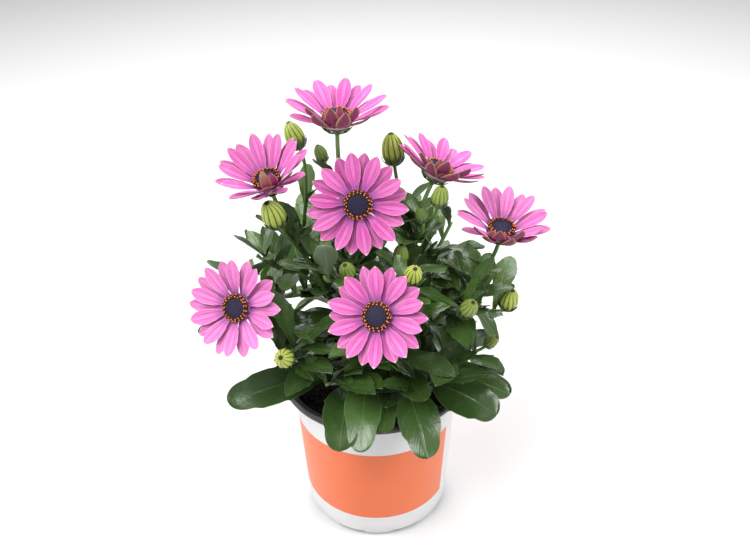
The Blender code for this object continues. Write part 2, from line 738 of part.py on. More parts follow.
def boolean(item, operation, collection):
    """Join or cut the item with everything in a collection, then remove the collection's objects."""
    modifier = item.modifiers.new("Join", "BOOLEAN")
    modifier.operation = operation
    modifier.solver = "EXACT"
    modifier.operand_type = "COLLECTION"
    modifier.collection = collection
    bpy.context.view_layer.update()
    joined = bpy.data.meshes.new_from_object(item.evaluated_get(bpy.context.evaluated_depsgraph_get()))
    item.modifiers.clear()
    item.data = joined
    for part in list(collection.objects):
        bpy.data.objects.remove(part)
    bpy.data.collections.remove(collection)


def build_node(name, shells):
    scene = bpy.context.scene.collection
    item = solid(name, shells[0], scene)
    if len(shells) > 1:
        others = bpy.data.collections.new(name + "_pieces")
        scene.children.link(others)
        for index, shell in enumerate(shells[1:]):
            solid(name + "_piece_" + str(index), shell, others)
        boolean(item, "UNION", others)
    item.data.materials.clear()
    item.data.materials.append(paint(name))
    return item


def stem_holes(soil_item):
    """A plain blind hole in the soil for each stem."""
    cutters = bpy.data.collections.new("holes")
    bpy.context.scene.collection.children.link(cutters)
    for name, stem in STEMS.items():
        x, y = (value * MM for value in stem["root"])
        bottom = SOIL_HEIGHT - HOLE_DEPTH
        radius = STEM_RADIUS + GAP * 1.3
        rings = [[Vector((0, 0, 0))], circle(radius, 0, 6), circle(radius, 40 * MM, 6), [Vector((0, 0, 40 * MM))]]
        shell = lathe(rings).moved(Matrix.Identity(3), Vector((x, y, bottom)))
        solid("hole_" + name, shell, cutters)
    boolean(soil_item, "DIFFERENCE", cutters)


def main():
    for item in list(bpy.data.objects):
        bpy.data.objects.remove(item)
    items = {name: build_node(name, shells) for name, shells in grow().items()}
    stem_holes(items["soil"])
    total = 0
    for name, item in items.items():
        item.data.validate()
        count = sum(len(face.vertices) - 2 for face in item.data.polygons)
        total += count
        print(name, count)
    print("triangles", total)


main()
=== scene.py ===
import math
import random
from collections import namedtuple

import bmesh
import bpy
from mathutils import Matrix, Vector
from mathutils.kdtree import KDTree
from mathutils.noise import noise


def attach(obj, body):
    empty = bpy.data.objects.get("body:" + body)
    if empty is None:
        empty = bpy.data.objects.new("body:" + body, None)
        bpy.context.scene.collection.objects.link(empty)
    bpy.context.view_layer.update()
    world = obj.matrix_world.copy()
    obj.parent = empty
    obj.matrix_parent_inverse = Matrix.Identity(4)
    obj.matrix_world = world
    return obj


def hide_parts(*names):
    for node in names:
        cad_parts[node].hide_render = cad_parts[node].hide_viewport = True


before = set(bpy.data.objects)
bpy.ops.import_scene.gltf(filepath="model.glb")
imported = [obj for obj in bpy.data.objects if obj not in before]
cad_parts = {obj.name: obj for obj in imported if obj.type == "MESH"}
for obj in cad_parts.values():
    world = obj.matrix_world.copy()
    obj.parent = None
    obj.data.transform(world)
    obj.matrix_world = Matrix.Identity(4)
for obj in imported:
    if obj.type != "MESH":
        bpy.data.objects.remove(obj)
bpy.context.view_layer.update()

mm = 0.001
up = Vector((0, 0, 1))
goldenAngle = 137.5


# Shared tools: a mesh that grows sheet by sheet, and materials written as sums

class Growth:
    # one piece in the making: points, faces, and for each point where it lies on its leaf and its tone
    def __init__(self):
        self.points = []
        self.faces = []
        self.places = []
        self.tones = []
        self.slots = []

    def grid(self, rows, places, tones, closed=False):
        # a sheet of rows of points; closed joins the last point of each row to its first
        first = len(self.points)
        width = len(rows[0])
        for row, placeRow, toneRow in zip(rows, places, tones):
            self.points.extend(row)
            self.places.extend(placeRow)
            self.tones.extend(toneRow)
        for j in range(len(rows) - 1):
            for i in range(width if closed else width - 1):
                after = (i + 1) % width
                low = first + j * width
                high = low + width
                self.faces.append((low + i, low + after, high + after, high + i))
                self.slots.append(0)
        return first

    def rings(self, rows, tones, places=None):
        # closed rows, with one tone for each row or one for all
        if isinstance(tones, tuple):
            tones = [tones] * len(rows)
        width = len(rows[0])
        places = places or [(0, 0)] * len(rows)
        self.grid(rows, [[place] * width for place in places], [[tone] * width for tone in tones], True)

    def cap(self, ring):
        self.faces.append(ring)
        self.slots.append(0)

    def piece(self, name, finishes, recordSlot, *nodes, sharp=None):
        mesh = bpy.data.meshes.new(name)
        mesh.from_pydata(self.points, [], self.faces)
        for finish in finishes:
            mesh.materials.append(finish)
        mesh.polygons.foreach_set("material_index", self.slots)
        uvs = mesh.uv_layers.new(name="grain")
        for loop in mesh.loops:
            uvs.data[loop.index].uv = self.places[loop.vertex_index]
        tone = mesh.color_attributes.new("tone", "FLOAT_COLOR", "POINT")
        for index, value in enumerate(self.tones):
            tone.data[index].color = (*value, 1)
        mesh.shade_smooth()
        if sharp:
            mesh.set_sharp_from_angle(angle=math.radians(sharp))
        mesh.validate()
        item = bpy.data.objects.new(name, mesh)
        bpy.context.scene.collection.objects.link(item)
        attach(item, "root")
        if nodes:
            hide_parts(*nodes)
        weld(mesh)


def weld(mesh):
    # points that meet at the middle of a disc become one
    body = bmesh.new()
    body.from_mesh(mesh)
    bmesh.ops.remove_doubles(body, verts=body.verts, dist=0.00001)
    bmesh.ops.recalc_face_normals(body, faces=body.faces)
    body.to_mesh(mesh)
    body.free()


class Wire:
    # a socket that can be added, multiplied and so on, each sign making its own Math node
    def __init__(self, finish, socket):
        self.finish = finish
        self.socket = socket

    def join(self, operation, first, second=0.5):
        return self.finish.node("Math", {"operation": operation}, {0: first, 1: second})

    def __add__(self, other):
        return self.join("ADD", self, other)

    def __radd__(self, other):
        return self.join("ADD", other, self)

    def __sub__(self, other):
        return self.join("SUBTRACT", self, other)

    def __rsub__(self, other):
        return self.join("SUBTRACT", other, self)

    def __mul__(self, other):
        return self.join("MULTIPLY", self, other)

    def __rmul__(self, other):
        return self.join("MULTIPLY", other, self)

    def __pow__(self, other):
        return self.join("POWER", self, other)

    def __rpow__(self, other):
        return self.join("POWER", other, self)

    def __abs__(self):
        return self.join("ABSOLUTE", self)

    def wave(self):
        return self.join("SINE", self)

    def step(self, low, high):
        # 0 below low, 1 above high, smooth between
        settings = {"interpolation_type": "SMOOTHSTEP"}
        return self.finish.node("MapRange", settings, {0: self, 1: low, 2: high, 3: 0.0, 4: 1.0})


class Finish:
    # one material and the short ways to add to it
    def __init__(self, name, **constants):
        self.material = bpy.data.materials.new(name)
        self.material.use_nodes = True
        self.tree = self.material.node_tree
        self.shader = self.tree.nodes["Principled BSDF"]
        for key, value in constants.items():
            self.shader.inputs[key.replace("_", " ")].default_value = value

    def feed(self, socket, value):
        if isinstance(value, Wire):
            self.tree.links.new(value.socket, socket)
        else:
            socket.default_value = value

    def node(self, kind, settings=None, inputs=None, output=0):
        made = self.tree.nodes.new("ShaderNode" + kind)
        for key, value in (settings or {}).items():
            setattr(made, key, value)
        for key, value in (inputs or {}).items():
            self.feed(made.inputs[key], value)
        return Wire(self, made.outputs[output])

    def mix(self, share, first, second, mode="MIX"):
        colors = [value if isinstance(value, Wire) else (*value, 1) for value in (first, second)]
        settings = {"data_type": "RGBA", "blend_type": mode}
        return self.node("Mix", settings, {0: share, 6: colors[0], 7: colors[1]}, 2)

    def coats(self, color, *coats):
        # a first color and what lies over it, each with its share
        for share, coat in coats:
            color = self.mix(share, color, coat)
        return color

    def noise(self, scale, detail=3, stretch=None):
        # noise in the object's own space, finer for a larger scale
        where = self.node("TexCoord", output=3)
        if stretch:
            where = self.node("VectorMath", {"operation": "MULTIPLY"}, {0: where, 1: stretch})
        return self.node("TexNoise", None, {"Vector": where, "Scale": scale, "Detail": detail})

    def place(self):
        # across and along the leaf or petal, 0 to 1 each
        spot = self.node("UVMap", {"uv_map": "grain"})
        return [self.node("SeparateXYZ", None, {0: spot}, index) for index in (0, 1)]

    def tone(self):
        color = self.node("VertexColor", {"layer_name": "tone"})
        return [self.node("SeparateColor", None, {0: color}, index) for index in (0, 1, 2)]

    def bump(self, height, strength, distance):
        self.feed(self.shader.inputs["Normal"],
                  self.node("Bump", None, {"Strength": strength, "Distance": distance, "Height": height}))

    def color(self, value):
        self.feed(self.shader.inputs["Base Color"], value)

    def roughness(self, value):
        self.feed(self.shader.inputs["Roughness"], value)


def at(x, y, z):
    return Vector((x, y, z)) * mm


def polar(radius, angle, height=0.0):
    return Vector((radius * math.cos(angle), radius * math.sin(angle), height))


def turns(count):
    # equal angles round a circle
    return [2 * math.pi * index / count for index in range(count)]


def axisFrame(axis):
    return axis.to_track_quat("Z", "Y").to_matrix()


def smoothCurve(stops, share):
    # a smooth line through (share, value) stops
    for (start, low), (end, high) in zip(stops, stops[1:]):
        if share <= end:
            part = (share - start) / (end - start)
            return low + (high - low) * part * part * (3 - 2 * part)
    return stops[-1][1]


def straightCurve(stops, share):
    for (start, low), (end, high) in zip(stops, stops[1:]):
        if share <= end:
            return low + (high - low) * (share - start) / (end - start)
    return stops[-1][1]


# Camera, floor and light

view = {
    "place": (0.0, -0.4093, 0.4387), "aim": (0.0009, 0.0, 0.172), "roll": -1.03, "lens": 39.36,
    "floor": 0.69, "reach": 6.0, "sky": 0.48,
}
lights = (
    # place, aim, size, watts
    ((-0.50, -0.55, 1.30), (0, 0, 0.15), 0.7, 16.0),
    ((-1.10, -0.10, 0.55), (0, 0, 0.12), 0.7, 6.0),
    ((1.00, -0.35, 0.85), (0, 0, 0.12), 0.7, 10.0),
    ((0.05, 0.80, 1.20), (0, 0, 0.2), 1.0, 14.0),
)


def makeCamera():
    camera = bpy.data.objects.new("camera", bpy.data.cameras.new("camera"))
    bpy.context.scene.collection.objects.link(camera)
    camera.location = view["place"]
    looking = Vector(view["aim"]) - camera.location
    roll = Matrix.Rotation(math.radians(view["roll"]), 3, "Z")
    camera.rotation_euler = (looking.to_track_quat("-Z", "Y").to_matrix() @ roll).to_euler()
    camera.data.sensor_width = 36
    camera.data.lens = view["lens"]
    camera.data.clip_start = 0.02
    bpy.context.scene.camera = camera
    bpy.context.scene.view_settings.view_transform = "Standard"


def makeStudio():
    paper = Finish("paper", Roughness=0.9)
    paper.color((view["floor"], view["floor"], view["floor"], 1))
    mesh = bpy.data.meshes.new("floor")
    corners = [(x * view["reach"], y * view["reach"], 0) for x, y in ((-1, -1), (1, -1), (1, 1), (-1, 1))]
    mesh.from_pydata(corners, [], [(0, 1, 2, 3)])
    mesh.materials.append(paper.material)
    floor = bpy.data.objects.new("floor", mesh)
    bpy.context.scene.collection.objects.link(floor)
    world = bpy.data.worlds.new("studio")
    world.use_nodes = True
    world.node_tree.nodes["Background"].inputs[0].default_value = (1, 1, 1, 1)
    world.node_tree.nodes["Background"].inputs[1].default_value = view["sky"]
    bpy.context.scene.world = world
    for index, (place, aim, size, watts) in enumerate(lights):
        lamp = bpy.data.objects.new("lamp" + str(index), bpy.data.lights.new("lamp" + str(index), "AREA"))
        lamp.data.size = size
        lamp.data.energy = watts
        lamp.location = place
        lamp.rotation_euler = (Vector(aim) - Vector(place)).to_track_quat("-Z", "Y").to_euler()
        bpy.context.scene.collection.objects.link(lamp)


# Finishes

def leafFinish():
    finish = Finish("leaf", Specular_IOR_Level=0.65)
    across, along = finish.place()
    chance, under, youth = finish.tone()
    off = abs(across * 2 - 1)
    # noise patches that vary roughness and bump; the paler ones in the colour are partly mottling, partly
    # painted sheen
    mottleAndSheen = finish.noise(55, 4)
    fine = finish.noise(420, 2)
    slant = along * 9 - off * 2.6
    ribs = ((slant * 6.2832).wave() * 0.5 + 0.5) ** 10 * off.step(0.03, 0.2) * (1 - off.step(0.7, 0.95))
    midrib = 1 - off.step(0.015, 0.07)
    green = finish.mix(chance, (0.020, 0.052, 0.010), (0.048, 0.102, 0.020))
    back = finish.mix(midrib, (0.080, 0.120, 0.062), (0.15, 0.20, 0.10))
    finish.color(finish.coats(
        green,
        (mottleAndSheen.step(0.42, 0.75) * 0.4, (0.066, 0.124, 0.036)),
        (youth, (0.115, 0.215, 0.030)),
        (ribs * 0.03, (0.13, 0.21, 0.08)),
        (midrib * 0.20, (0.15, 0.23, 0.085)),
        (under * 0.85, back),
        (off.step(0.94, 1.0) * 0.45, (0.19, 0.26, 0.12))))
    finish.roughness(0.10 + mottleAndSheen * 0.32 + under * 0.25)
    finish.bump(ribs * -0.12 + midrib * -0.8 + mottleAndSheen * 1.1 + fine * 0.35, 0.5, 0.0006)
    return finish.material


def stalkFinish():
    finish = Finish("stalk", Specular_IOR_Level=0.4)
    height = finish.tone()[1]
    streak = finish.noise(60, 3, (6, 6, 1))
    green = finish.mix(height, (0.055, 0.105, 0.026), (0.115, 0.215, 0.05))
    green = finish.mix(streak.step(0.45, 0.7) * 0.4, green, (0.20, 0.30, 0.09))
    finish.color(green)
    finish.roughness(0.42 + streak * 0.15)
    finish.bump(streak, 0.3, 0.0004)
    return finish.material


def petalFinish():
    finish = Finish("petal", Specular_IOR_Level=0.3)
    across, along = finish.place()
    chance, under, youth = finish.tone()
    off = abs(across * 2 - 1)
    wander = finish.noise(150, 3)
    lines = (((across + wander * 0.02) * 50.3).wave() * 0.5 + 0.5) ** 3
    # two lengthwise grooves, sunk by the bump; their darker colour is painted shade
    shadedGrooves = (abs(off - 0.36) * -1 + 1).step(0.93, 1.0)
    pink = finish.coats(
        finish.mix(chance, (0.58, 0.065, 0.34), (0.72, 0.210, 0.52)),
        (along.step(0.35, 0.95) * 0.35, (0.80, 0.22, 0.55)),
        (1 - along.step(0.0, 0.42), (0.36, 0.105, 0.38)),
        # lighter pink down the middle ridge of each petal: painted highlight
        ((1 - off.step(0.1, 0.3)) * along.step(0.2, 0.5) * 0.30, (0.86, 0.36, 0.66)),
        (wander.step(0.5, 0.8) * 0.35, (0.84, 0.34, 0.64)),
        (lines * (1 - along.step(0.55, 0.95)) * 0.38, (0.38, 0.035, 0.26)),
        # darker in the two grooves: painted shade
        (shadedGrooves * (1 - along.step(0.5, 0.95)) * 0.65, (0.40, 0.040, 0.30)),
        (off.step(0.88, 1.0) * 0.55, (0.88, 0.50, 0.72)),
        (along.step(0.93, 0.985) * 0.85, (0.80, 0.66, 0.50)))
    wine = finish.coats(
        finish.mix(lines, (0.195, 0.030, 0.075), (0.105, 0.017, 0.044)),
        (along.step(0.1, 0.7) * 0.5, (0.27, 0.050, 0.125)),
        (off.step(0.62, 0.97) * 0.70, (0.38, 0.29, 0.10)),
        (youth * along.step(0.15, 0.7), (0.30, 0.20, 0.075)))
    finish.color(finish.mix(under, pink, wine))
    finish.roughness(0.46 + wander * 0.12)
    finish.bump(lines * -0.8 + shadedGrooves * -1.5 + wander * 0.4, 0.45, 0.0004)
    return finish.material


def floretFinish():
    finish = Finish("floret", Specular_IOR_Level=0.35)
    kind, shade = finish.tone()[:2]
    speck = finish.noise(1500, 2)
    dark = finish.mix(shade, (0.010, 0.008, 0.026), (0.045, 0.036, 0.105))
    maroon = finish.mix(shade, (0.016, 0.004, 0.008), (0.085, 0.012, 0.014))
    pollen = finish.mix(speck, (0.52, 0.110, 0.014), (0.85, 0.33, 0.07))
    finish.color(finish.mix(kind.step(0.70, 0.80), finish.mix(kind.step(0.2, 0.3), dark, maroon), pollen))
    finish.roughness(0.62 - shade * 0.15)
    finish.bump(speck, 0.3, 0.0002)
    return finish.material


def budFinish():
    finish = Finish("bud", Specular_IOR_Level=0.4)
    along = finish.place()[1]
    rib, _, glow = finish.tone()
    mottle = finish.noise(300, 3)
    green = finish.mix(mottle, (0.06, 0.115, 0.024), (0.105, 0.185, 0.042))
    bright = finish.mix(mottle, (0.38, 0.45, 0.05), (0.60, 0.64, 0.13))
    stripe = rib.step(0.15, 0.62) * along.step(0.10, 0.50)
    finish.color(finish.coats(
        green,
        (stripe * glow, bright),
        # darker in the grooves between the ribs: painted shade
        ((1 - rib.step(0.0, 0.35)) * 0.7, (0.035, 0.060, 0.015)),
        (along.step(0.955, 0.985), (0.030, 0.035, 0.012))))
    finish.roughness(0.40 + mottle * 0.15)
    finish.bump(mottle, 0.25, 0.0004)
    return finish.material


def soilFinish():
    finish = Finish("peatAndPaintedShade", Roughness=0.95, Specular_IOR_Level=0.2)
    crumb = finish.noise(700, 5)
    clod = finish.noise(160, 3)
    # near-black browns: partly the peat's own colour, partly painted shade of the pot's dark inside
    brown = finish.mix(crumb.step(0.35, 0.7), (0.006, 0.004, 0.003), (0.026, 0.017, 0.012))
    finish.color(finish.mix(clod.step(0.62, 0.72) * 0.35, brown, (0.045, 0.032, 0.024)))
    finish.bump(crumb + clod, 0.9, 0.0012)
    return finish.material


def plasticFinish(name, dark, light, roughness):
    finish = Finish(name, Specular_IOR_Level=0.45)
    cloud = finish.noise(18, 2)
    orange = finish.noise(900, 2)
    finish.color(finish.mix(cloud.step(0.3, 0.7), dark, light))
    finish.roughness(roughness + cloud * 0.1)
    finish.bump(orange, 0.08, 0.0003)
    return finish.material


# Pot and soil

pot = {
    "feet": 8, "footHalf": 9.5, "footRamp": 4.5, "channel": 3.6 * mm, "floor": 1.2 * mm,
    "baseRadius": 44.3 * mm, "footTop": (5.2 * mm, 47.4 * mm), "bandLow": 19.3 * mm, "bandHigh": 78 * mm,
    "shoulder": (97 * mm, 52.3 * mm), "step": 1.3 * mm, "rimRadius": 60 * mm, "rimTop": 108 * mm,
    "rimDepth": 4.2 * mm, "bandEnd": 61, "bandGap": 27, "sides": 144,
    "roll": ((-1.9, -0.5), (-0.9, -0.35), (-0.2, 0.1), (0.0, 0.8), (0.05, 2.0), (-0.3, 3.1), (-1.1, 3.9),
             (-2.2, 4.2), (-3.3, 4.0), (-4.4, 3.2), (-5.4, 1.6), (-6.2, 0.0)),
}
plastics = {
    # dark, light, roughness
    "white_plastic": ((0.62, 0.62, 0.625), (0.66, 0.66, 0.665), 0.30),
    "orange_band": ((0.70, 0.140, 0.042), (0.74, 0.160, 0.052), 0.30),
    "black_plastic": ((0.012, 0.012, 0.013), (0.020, 0.020, 0.022), 0.28),
}
soil = {
    "height": 98 * mm, "bump": 1.3 * mm, "grain": 0.9 * mm,
    "foot": (42 * mm, 6 * mm), "wall": (50 * mm, 94 * mm), "edge": 49.6 * mm,
    "ring": 2.2, "rings": 22, "sides": 96, "crumbs": 420, "spread": 48 * mm, "crumb": (0.6, 1.9), "seed": 3,
}


def footRise(angle):
    # 0 on a foot, 1 in the channel between two feet
    period = 360 / pot["feet"]
    off = abs((angle + period / 2) % period - period / 2)
    part = min(1, max(0, (off - pot["footHalf"]) / pot["footRamp"]))
    return part * part * (3 - 2 * part)


def makePot():
    growth = Growth()
    (footHeight, footRadius), (topHeight, topRadius) = pot["footTop"], pot["shoulder"]
    slope = (topRadius - footRadius) / (topHeight - footHeight)
    lip = pot["rimTop"] - pot["rimDepth"]
    wallTop = topRadius + pot["step"]
    # radius, height, share of the channels' rise, finish
    profile = [(0.0, 0.0, 0, 0), (10 * mm, 0, 0, 0), (17 * mm, 0, 0, 0), (18.5 * mm, 0, 0.5, 0),
               (21 * mm, 0, 1, 0), (36 * mm, 0, 1, 0), (43.4 * mm, 0, 1, 0),
               (pot["baseRadius"], 0.5 * mm, 0.9, 0), (pot["baseRadius"] + 1.4 * mm, 1.9 * mm, 0.6, 0),
               (footRadius - 0.5 * mm, 4.2 * mm, 0.15, 0), (footRadius, footHeight, 0, 0)]
    heights = [footHeight + (topHeight - footHeight) * index / 13 for index in range(1, 14)]
    heights = sorted(heights + [pot["bandLow"], pot["bandHigh"]])
    for height in heights:
        inBand = pot["bandLow"] < height <= pot["bandHigh"] + 1e-6
        profile.append((footRadius + slope * (height - footHeight), height, 0, 1 if inBand else 0))
    profile += [(topRadius + 0.5 * mm, topHeight + 0.5 * mm, 0, 0), (wallTop, topHeight + 1.4 * mm, 0, 0),
                (wallTop + 0.2 * mm, lip - 1.4 * mm, 0, 0), (wallTop + 0.6 * mm, lip - 0.8 * mm, 0, 0)]
    profile += [(pot["rimRadius"] + out * mm, lip + rise * mm, 0, 2) for out, rise in pot["roll"]]
    profile += [(wallTop - 1.0 * mm, lip - 2.0 * mm, 0, 2), (topRadius - 0.8 * mm, topHeight, 0, 2),
                (footRadius - 1.1 * mm, footHeight + 1.0 * mm, 0, 2), (43.5 * mm, pot["floor"], 1, 2),
                (21 * mm, pot["floor"], 1, 2), (17 * mm, pot["floor"], 0, 2), (0.0, pot["floor"], 0, 2)]
    rows = []
    sides = pot["sides"]
    for radius, height, channel, slot in profile:
        row = []
        for index in range(sides):
            angle = 360 * index / sides
            rise = channel * pot["channel"] * footRise(angle)
            row.append(polar(radius, math.radians(angle - 90), height + rise))
        rows.append(row)
    growth.rings(rows, (0, 0, 0))
    growth.slots = []
    for *_, slot in profile[1:]:
        for side in range(sides):
            bare = pot["bandEnd"] < 360 * (side + 0.5) / sides < pot["bandEnd"] + pot["bandGap"]
            growth.slots.append(0 if slot == 1 and bare else slot)
    looks = [plasticFinish(name, *look) for name, look in plastics.items()]
    growth.piece("nursery_pot", looks, "pot", "pot", sharp=38)



def makeSoil(peatAndPaintedShade):
    growth = Growth()
    draw = random.Random(soil["seed"])
    angles = turns(soil["sides"])
    radii = [0.0] + [soil["ring"] * (index + 1) * mm for index in range(soil["rings"])] + [soil["edge"]]
    rows = [[Vector((0, 0, soil["foot"][1]))] * len(angles)]
    for radius, height in (soil["foot"], soil["wall"]):
        rows.append([polar(radius, angle, height) for angle in angles])
    for radius in reversed(radii):
        row = [polar(radius, angle) for angle in angles]
        for spot in row:
            spot.z = soil["height"] + soil["bump"] * noise(spot * 90) + soil["grain"] * noise(spot * 420)
        rows.append(row)
    growth.rings(rows, (0, 0, 0))
    for _ in range(soil["crumbs"]):
        radius = soil["spread"] * math.sqrt(draw.random())
        spot = polar(radius, draw.uniform(0, 2 * math.pi))
        spot.z = soil["height"] + soil["bump"] * noise(spot * 90) + 0.5 * mm
        size = draw.uniform(*soil["crumb"]) * mm
        bead(growth, spot, [size * draw.uniform(0.7, 1.2) for _ in range(3)], 6, 4, (0, 0, 0))
    growth.piece("soil_bed", [peatAndPaintedShade], "soil", "soil", sharp=60)


def bead(growth, center, sizes, sides, rings, tone, turn=None):
    # a small closed grain
    rows = []
    for ring in range(rings + 1):
        tilt = math.pi * ring / rings
        wide, deep, high = sizes[0] * math.sin(tilt), sizes[1] * math.sin(tilt), -sizes[2] * math.cos(tilt)
        row = [Vector((wide * math.cos(angle), deep * math.sin(angle), high)) for angle in turns(sides)]
        rows.append([center + (turn @ point if turn else point) for point in row])
    growth.rings(rows, tone, [(0, ring / rings) for ring in range(rings + 1)])


# The plant's plan, the same as the solids'

stemRadius = 1.9 * mm
plateRadius = 6.8 * mm
plateHalf = 1.2 * mm
gap = 0.3 * mm
cupHeight = 6 * mm
petalsPerLayer = 10
petalLength = 21.4 * mm
petalHalfWidth = 4.0 * mm
leafSlender = 0.19

# each bloom's disc, axis, cup of its petals in degrees, their length against the usual, how pale they are,
# and how far those nearest the front curl up
Bloom = namedtuple("Bloom", "disc axis cup long pale curl")
blooms = {
    "top": Bloom((-17, -14, 282.5), (0.03, -0.09, 1.0), 31, 1.05, 0.1, 0.75),
    "center": Bloom((-7.4, -30, 238.5), (0.0, -0.92, 0.38), 6, 0.95, 0.0, 0),
    "low_front": Bloom((1, -72, 197), (-0.26, -0.84, 0.6), 14, 0.92, 0.15, 0),
    "left": Bloom((-75.5, -45, 185), (-0.33, -0.82, 0.53), 19, 1.0, 0.6, 0),
    "upper_left": Bloom((-56, -15, 248), (-0.18, -0.3, 0.94), 42, 1.06, 0.35, 0.1),
    "upper_right": Bloom((36.7, -10, 250.7), (0.38, 0.02, 0.92), 28, 0.97, 0.15, 0.7),
    "right": Bloom((72, -12, 214), (0.05, -0.24, 0.97), 33, 1.06, 0.6, 0.8),
}

Shoot = namedtuple("Shoot", "share tip axis leaves bud glow", defaults=(0, 0))
Stem = namedtuple("Stem", "root bloom leaves shoots tip axis", defaults=(None, None))
# each stem's root, its bloom, its leaves (first share, last share, count) and side shoots, and for a stem
# without a bloom its tip and axis; each shoot's share of the stem, tip, axis, leaves, and bud radius and glow
stems = {
    "left": Stem((-11, -6), "left", (0.18, 0.78, 7), (
        Shoot(0.42, (-47, -66, 166), (-0.1, -0.75, 0.65), 2, 5.2, 0.8),
        Shoot(0.5, (-74, -12, 178), (-0.55, -0.05, 0.8), 4),
        Shoot(0.26, (-56, -34, 138), (-0.75, -0.45, 0.5), 4),
    )),
    "upper_left": Stem((-8, 5), "upper_left", (0.2, 0.74, 7), (
        Shoot(0.62, (-50, -24, 224), (-0.25, -0.35, 0.9), 1, 6.4, 0.75),
        Shoot(0.6, (-39, 8, 254), (-0.35, 0.1, 0.93), 1, 5.4, 0.7),
        Shoot(0.45, (-66, -8, 196), (-0.4, -0.2, 0.9), 4),
    )),
    "top": Stem((-2, 10), "top", (0.2, 0.68, 7), (
        Shoot(0.7, (-26, 6, 247), (-0.3, -0.1, 0.95), 1, 3.6, 0.1),
        Shoot(0.4, (-28, 30, 196), (-0.3, 0.5, 0.8), 4),
    )),
    "center": Stem((-3, -3), "center", (0.2, 0.72, 8), (
        Shoot(0.6, (-13, -34, 197), (-0.15, -0.5, 0.85), 1, 4.6, 0.35),
        Shoot(0.48, (-26, -44, 204), (-0.1, -0.3, 0.95), 4),
    )),
    "upper_right": Stem((6, 6), "upper_right", (0.2, 0.7, 7), (
        Shoot(0.62, (12.6, 2, 246.3), (-0.1, 0.0, 0.98), 1, 6.2, 1.0),
        Shoot(0.66, (35, -26, 235), (0.1, -0.25, 0.95), 1, 4.6, 0.4),
        Shoot(0.58, (27, -24, 225), (-0.15, -0.3, 0.92), 1, 3.6, 0.05),
    )),
    "right": Stem((11, -1), "right", (0.18, 0.78, 7), (
        Shoot(0.55, (50, -44, 178), (0.2, -0.5, 0.84), 3, 4.8, 0.35),
        Shoot(0.5, (78, -14, 160), (0.1, -0.3, 0.95), 4, 5.6, 0.7),
    )),
    "low_front": Stem((2, -11), "low_front", (0.22, 0.74, 7), (
        Shoot(0.62, (20, -48, 203), (0.1, -0.55, 0.83), 1, 4.8, 1.0),
        Shoot(0.45, (15, -22, 197), (0.05, -0.1, 0.99), 3, 4.4, 0.3),
        Shoot(0.3, (-28, -50, 134), (-0.4, -0.75, 0.5), 4),
    )),
    "right_low": Stem((13, -11), "", (0.3, 0.97, 6), (
        Shoot(0.7, (68, -14, 132), (0.5, -0.3, 0.8), 4, 3.6, 0.3),
        Shoot(0.35, (28, -48, 128), (0.35, -0.8, 0.5), 4),
    ), (50, -28, 134), (0.8, -0.35, 0.5)),
    "back_left": Stem((-9, 15), "", (0.16, 0.97, 9), (
        Shoot(0.45, (-66, 20, 150), (-0.8, 0.2, 0.55), 4),
        Shoot(0.3, (-30, 56, 140), (-0.3, 0.8, 0.5), 4),
    ), (-50, 44, 188), (-0.45, 0.35, 0.82)),
    "back_right": Stem((9, 14), "", (0.16, 0.97, 9), (
        Shoot(0.45, (66, 18, 150), (0.8, 0.2, 0.55), 4),
        Shoot(0.3, (26, 58, 140), (0.3, 0.8, 0.5), 4),
        Shoot(0.62, (14, 44, 196), (-0.1, 0.3, 0.95), 3, 5.0, 0.4),
    ), (50, 44, 186), (0.45, 0.35, 0.82)),
}

# large leaves in view: stem, path on it, share of that path, tip, half width, arch, turn to the front
shownLeaves = (
    ("left", 0, 0.10, (-86, -48, 121), 11.5, 0.13, 0.7),
    ("left", 0, 0.04, (-21, -78, 109), 12.5, 0.18, 0.0),
    ("center", 0, 0.06, (-9, -79, 103), 11.0, 0.21, 0.0),
    ("low_front", 0, 0.15, (5, -69, 114), 8.0, 0.14, 0.0),
    ("right_low", 0, 0.10, (29, -73, 91), 12.5, 0.22, 0.0),
    ("right_low", 0, 0.30, (71, -51, 110), 13.0, 0.14, 0.6),
    ("right", 0, 0.10, (80, -40, 120), 9.5, 0.12, 0.5),
    ("low_front", 0, 0.28, (28, -63, 133), 9.0, 0.08, 0.3),
    ("left", 2, 0.60, (-91, -24, 202), 8.5, 0.06, 0.0),
    ("upper_left", 3, 0.66, (-75, -20, 216), 6.5, 0.04, 0.0),
    ("center", 2, 0.86, (-24, -58, 231), 6.5, 0.03, 0.0),
    ("center", 2, 0.66, (-46, -60, 222), 7.0, 0.06, 0.0),
)
shownLifts = (0, 3, 6, 9, 12, 16, 20, -4)
leafTries = (
    (0, 0, 1.0), (18, 0, 1.0), (-18, 0, 1.0), (0, 14, 1.0), (0, -12, 1.0),
    (32, 8, 0.92), (-32, 8, 0.92), (0, 26, 0.9), (48, 0, 0.85), (-48, 0, 0.85),
    (20, 26, 0.8), (-20, 26, 0.8), (70, 10, 0.75), (-70, 10, 0.75), (0, 40, 0.7),
    (100, 16, 0.65), (-100, 16, 0.65), (0, 0, 0.6),
)


class Path:
    # a stem line from its start to its tip
    def __init__(self, start, heading, tip, axis, stiffness=0.9):
        reach = (tip - start).length * stiffness
        self.corners = (start, start + heading * reach / 3, tip - axis * reach / 3, tip)

    def point(self, share):
        a, b, c, d = self.corners
        rest = 1 - share
        return a * rest ** 3 + b * 3 * rest ** 2 * share + c * 3 * rest * share ** 2 + d * share ** 3

    def heading(self, share):
        a, b, c, d = self.corners
        rest = 1 - share
        slope = (b - a) * rest ** 2 + (c - b) * 2 * rest * share + (d - c) * share ** 2
        return slope.normalized()


def discHeight(bloom):
    return plateHalf + 2.6 * mm + (disc["radius"] - plateRadius) * math.tan(math.radians(bloom.cup))


def bloomPlace(bloom):
    axis = Vector(bloom.axis).normalized()
    return at(*bloom.disc) - axis * discHeight(bloom), axis


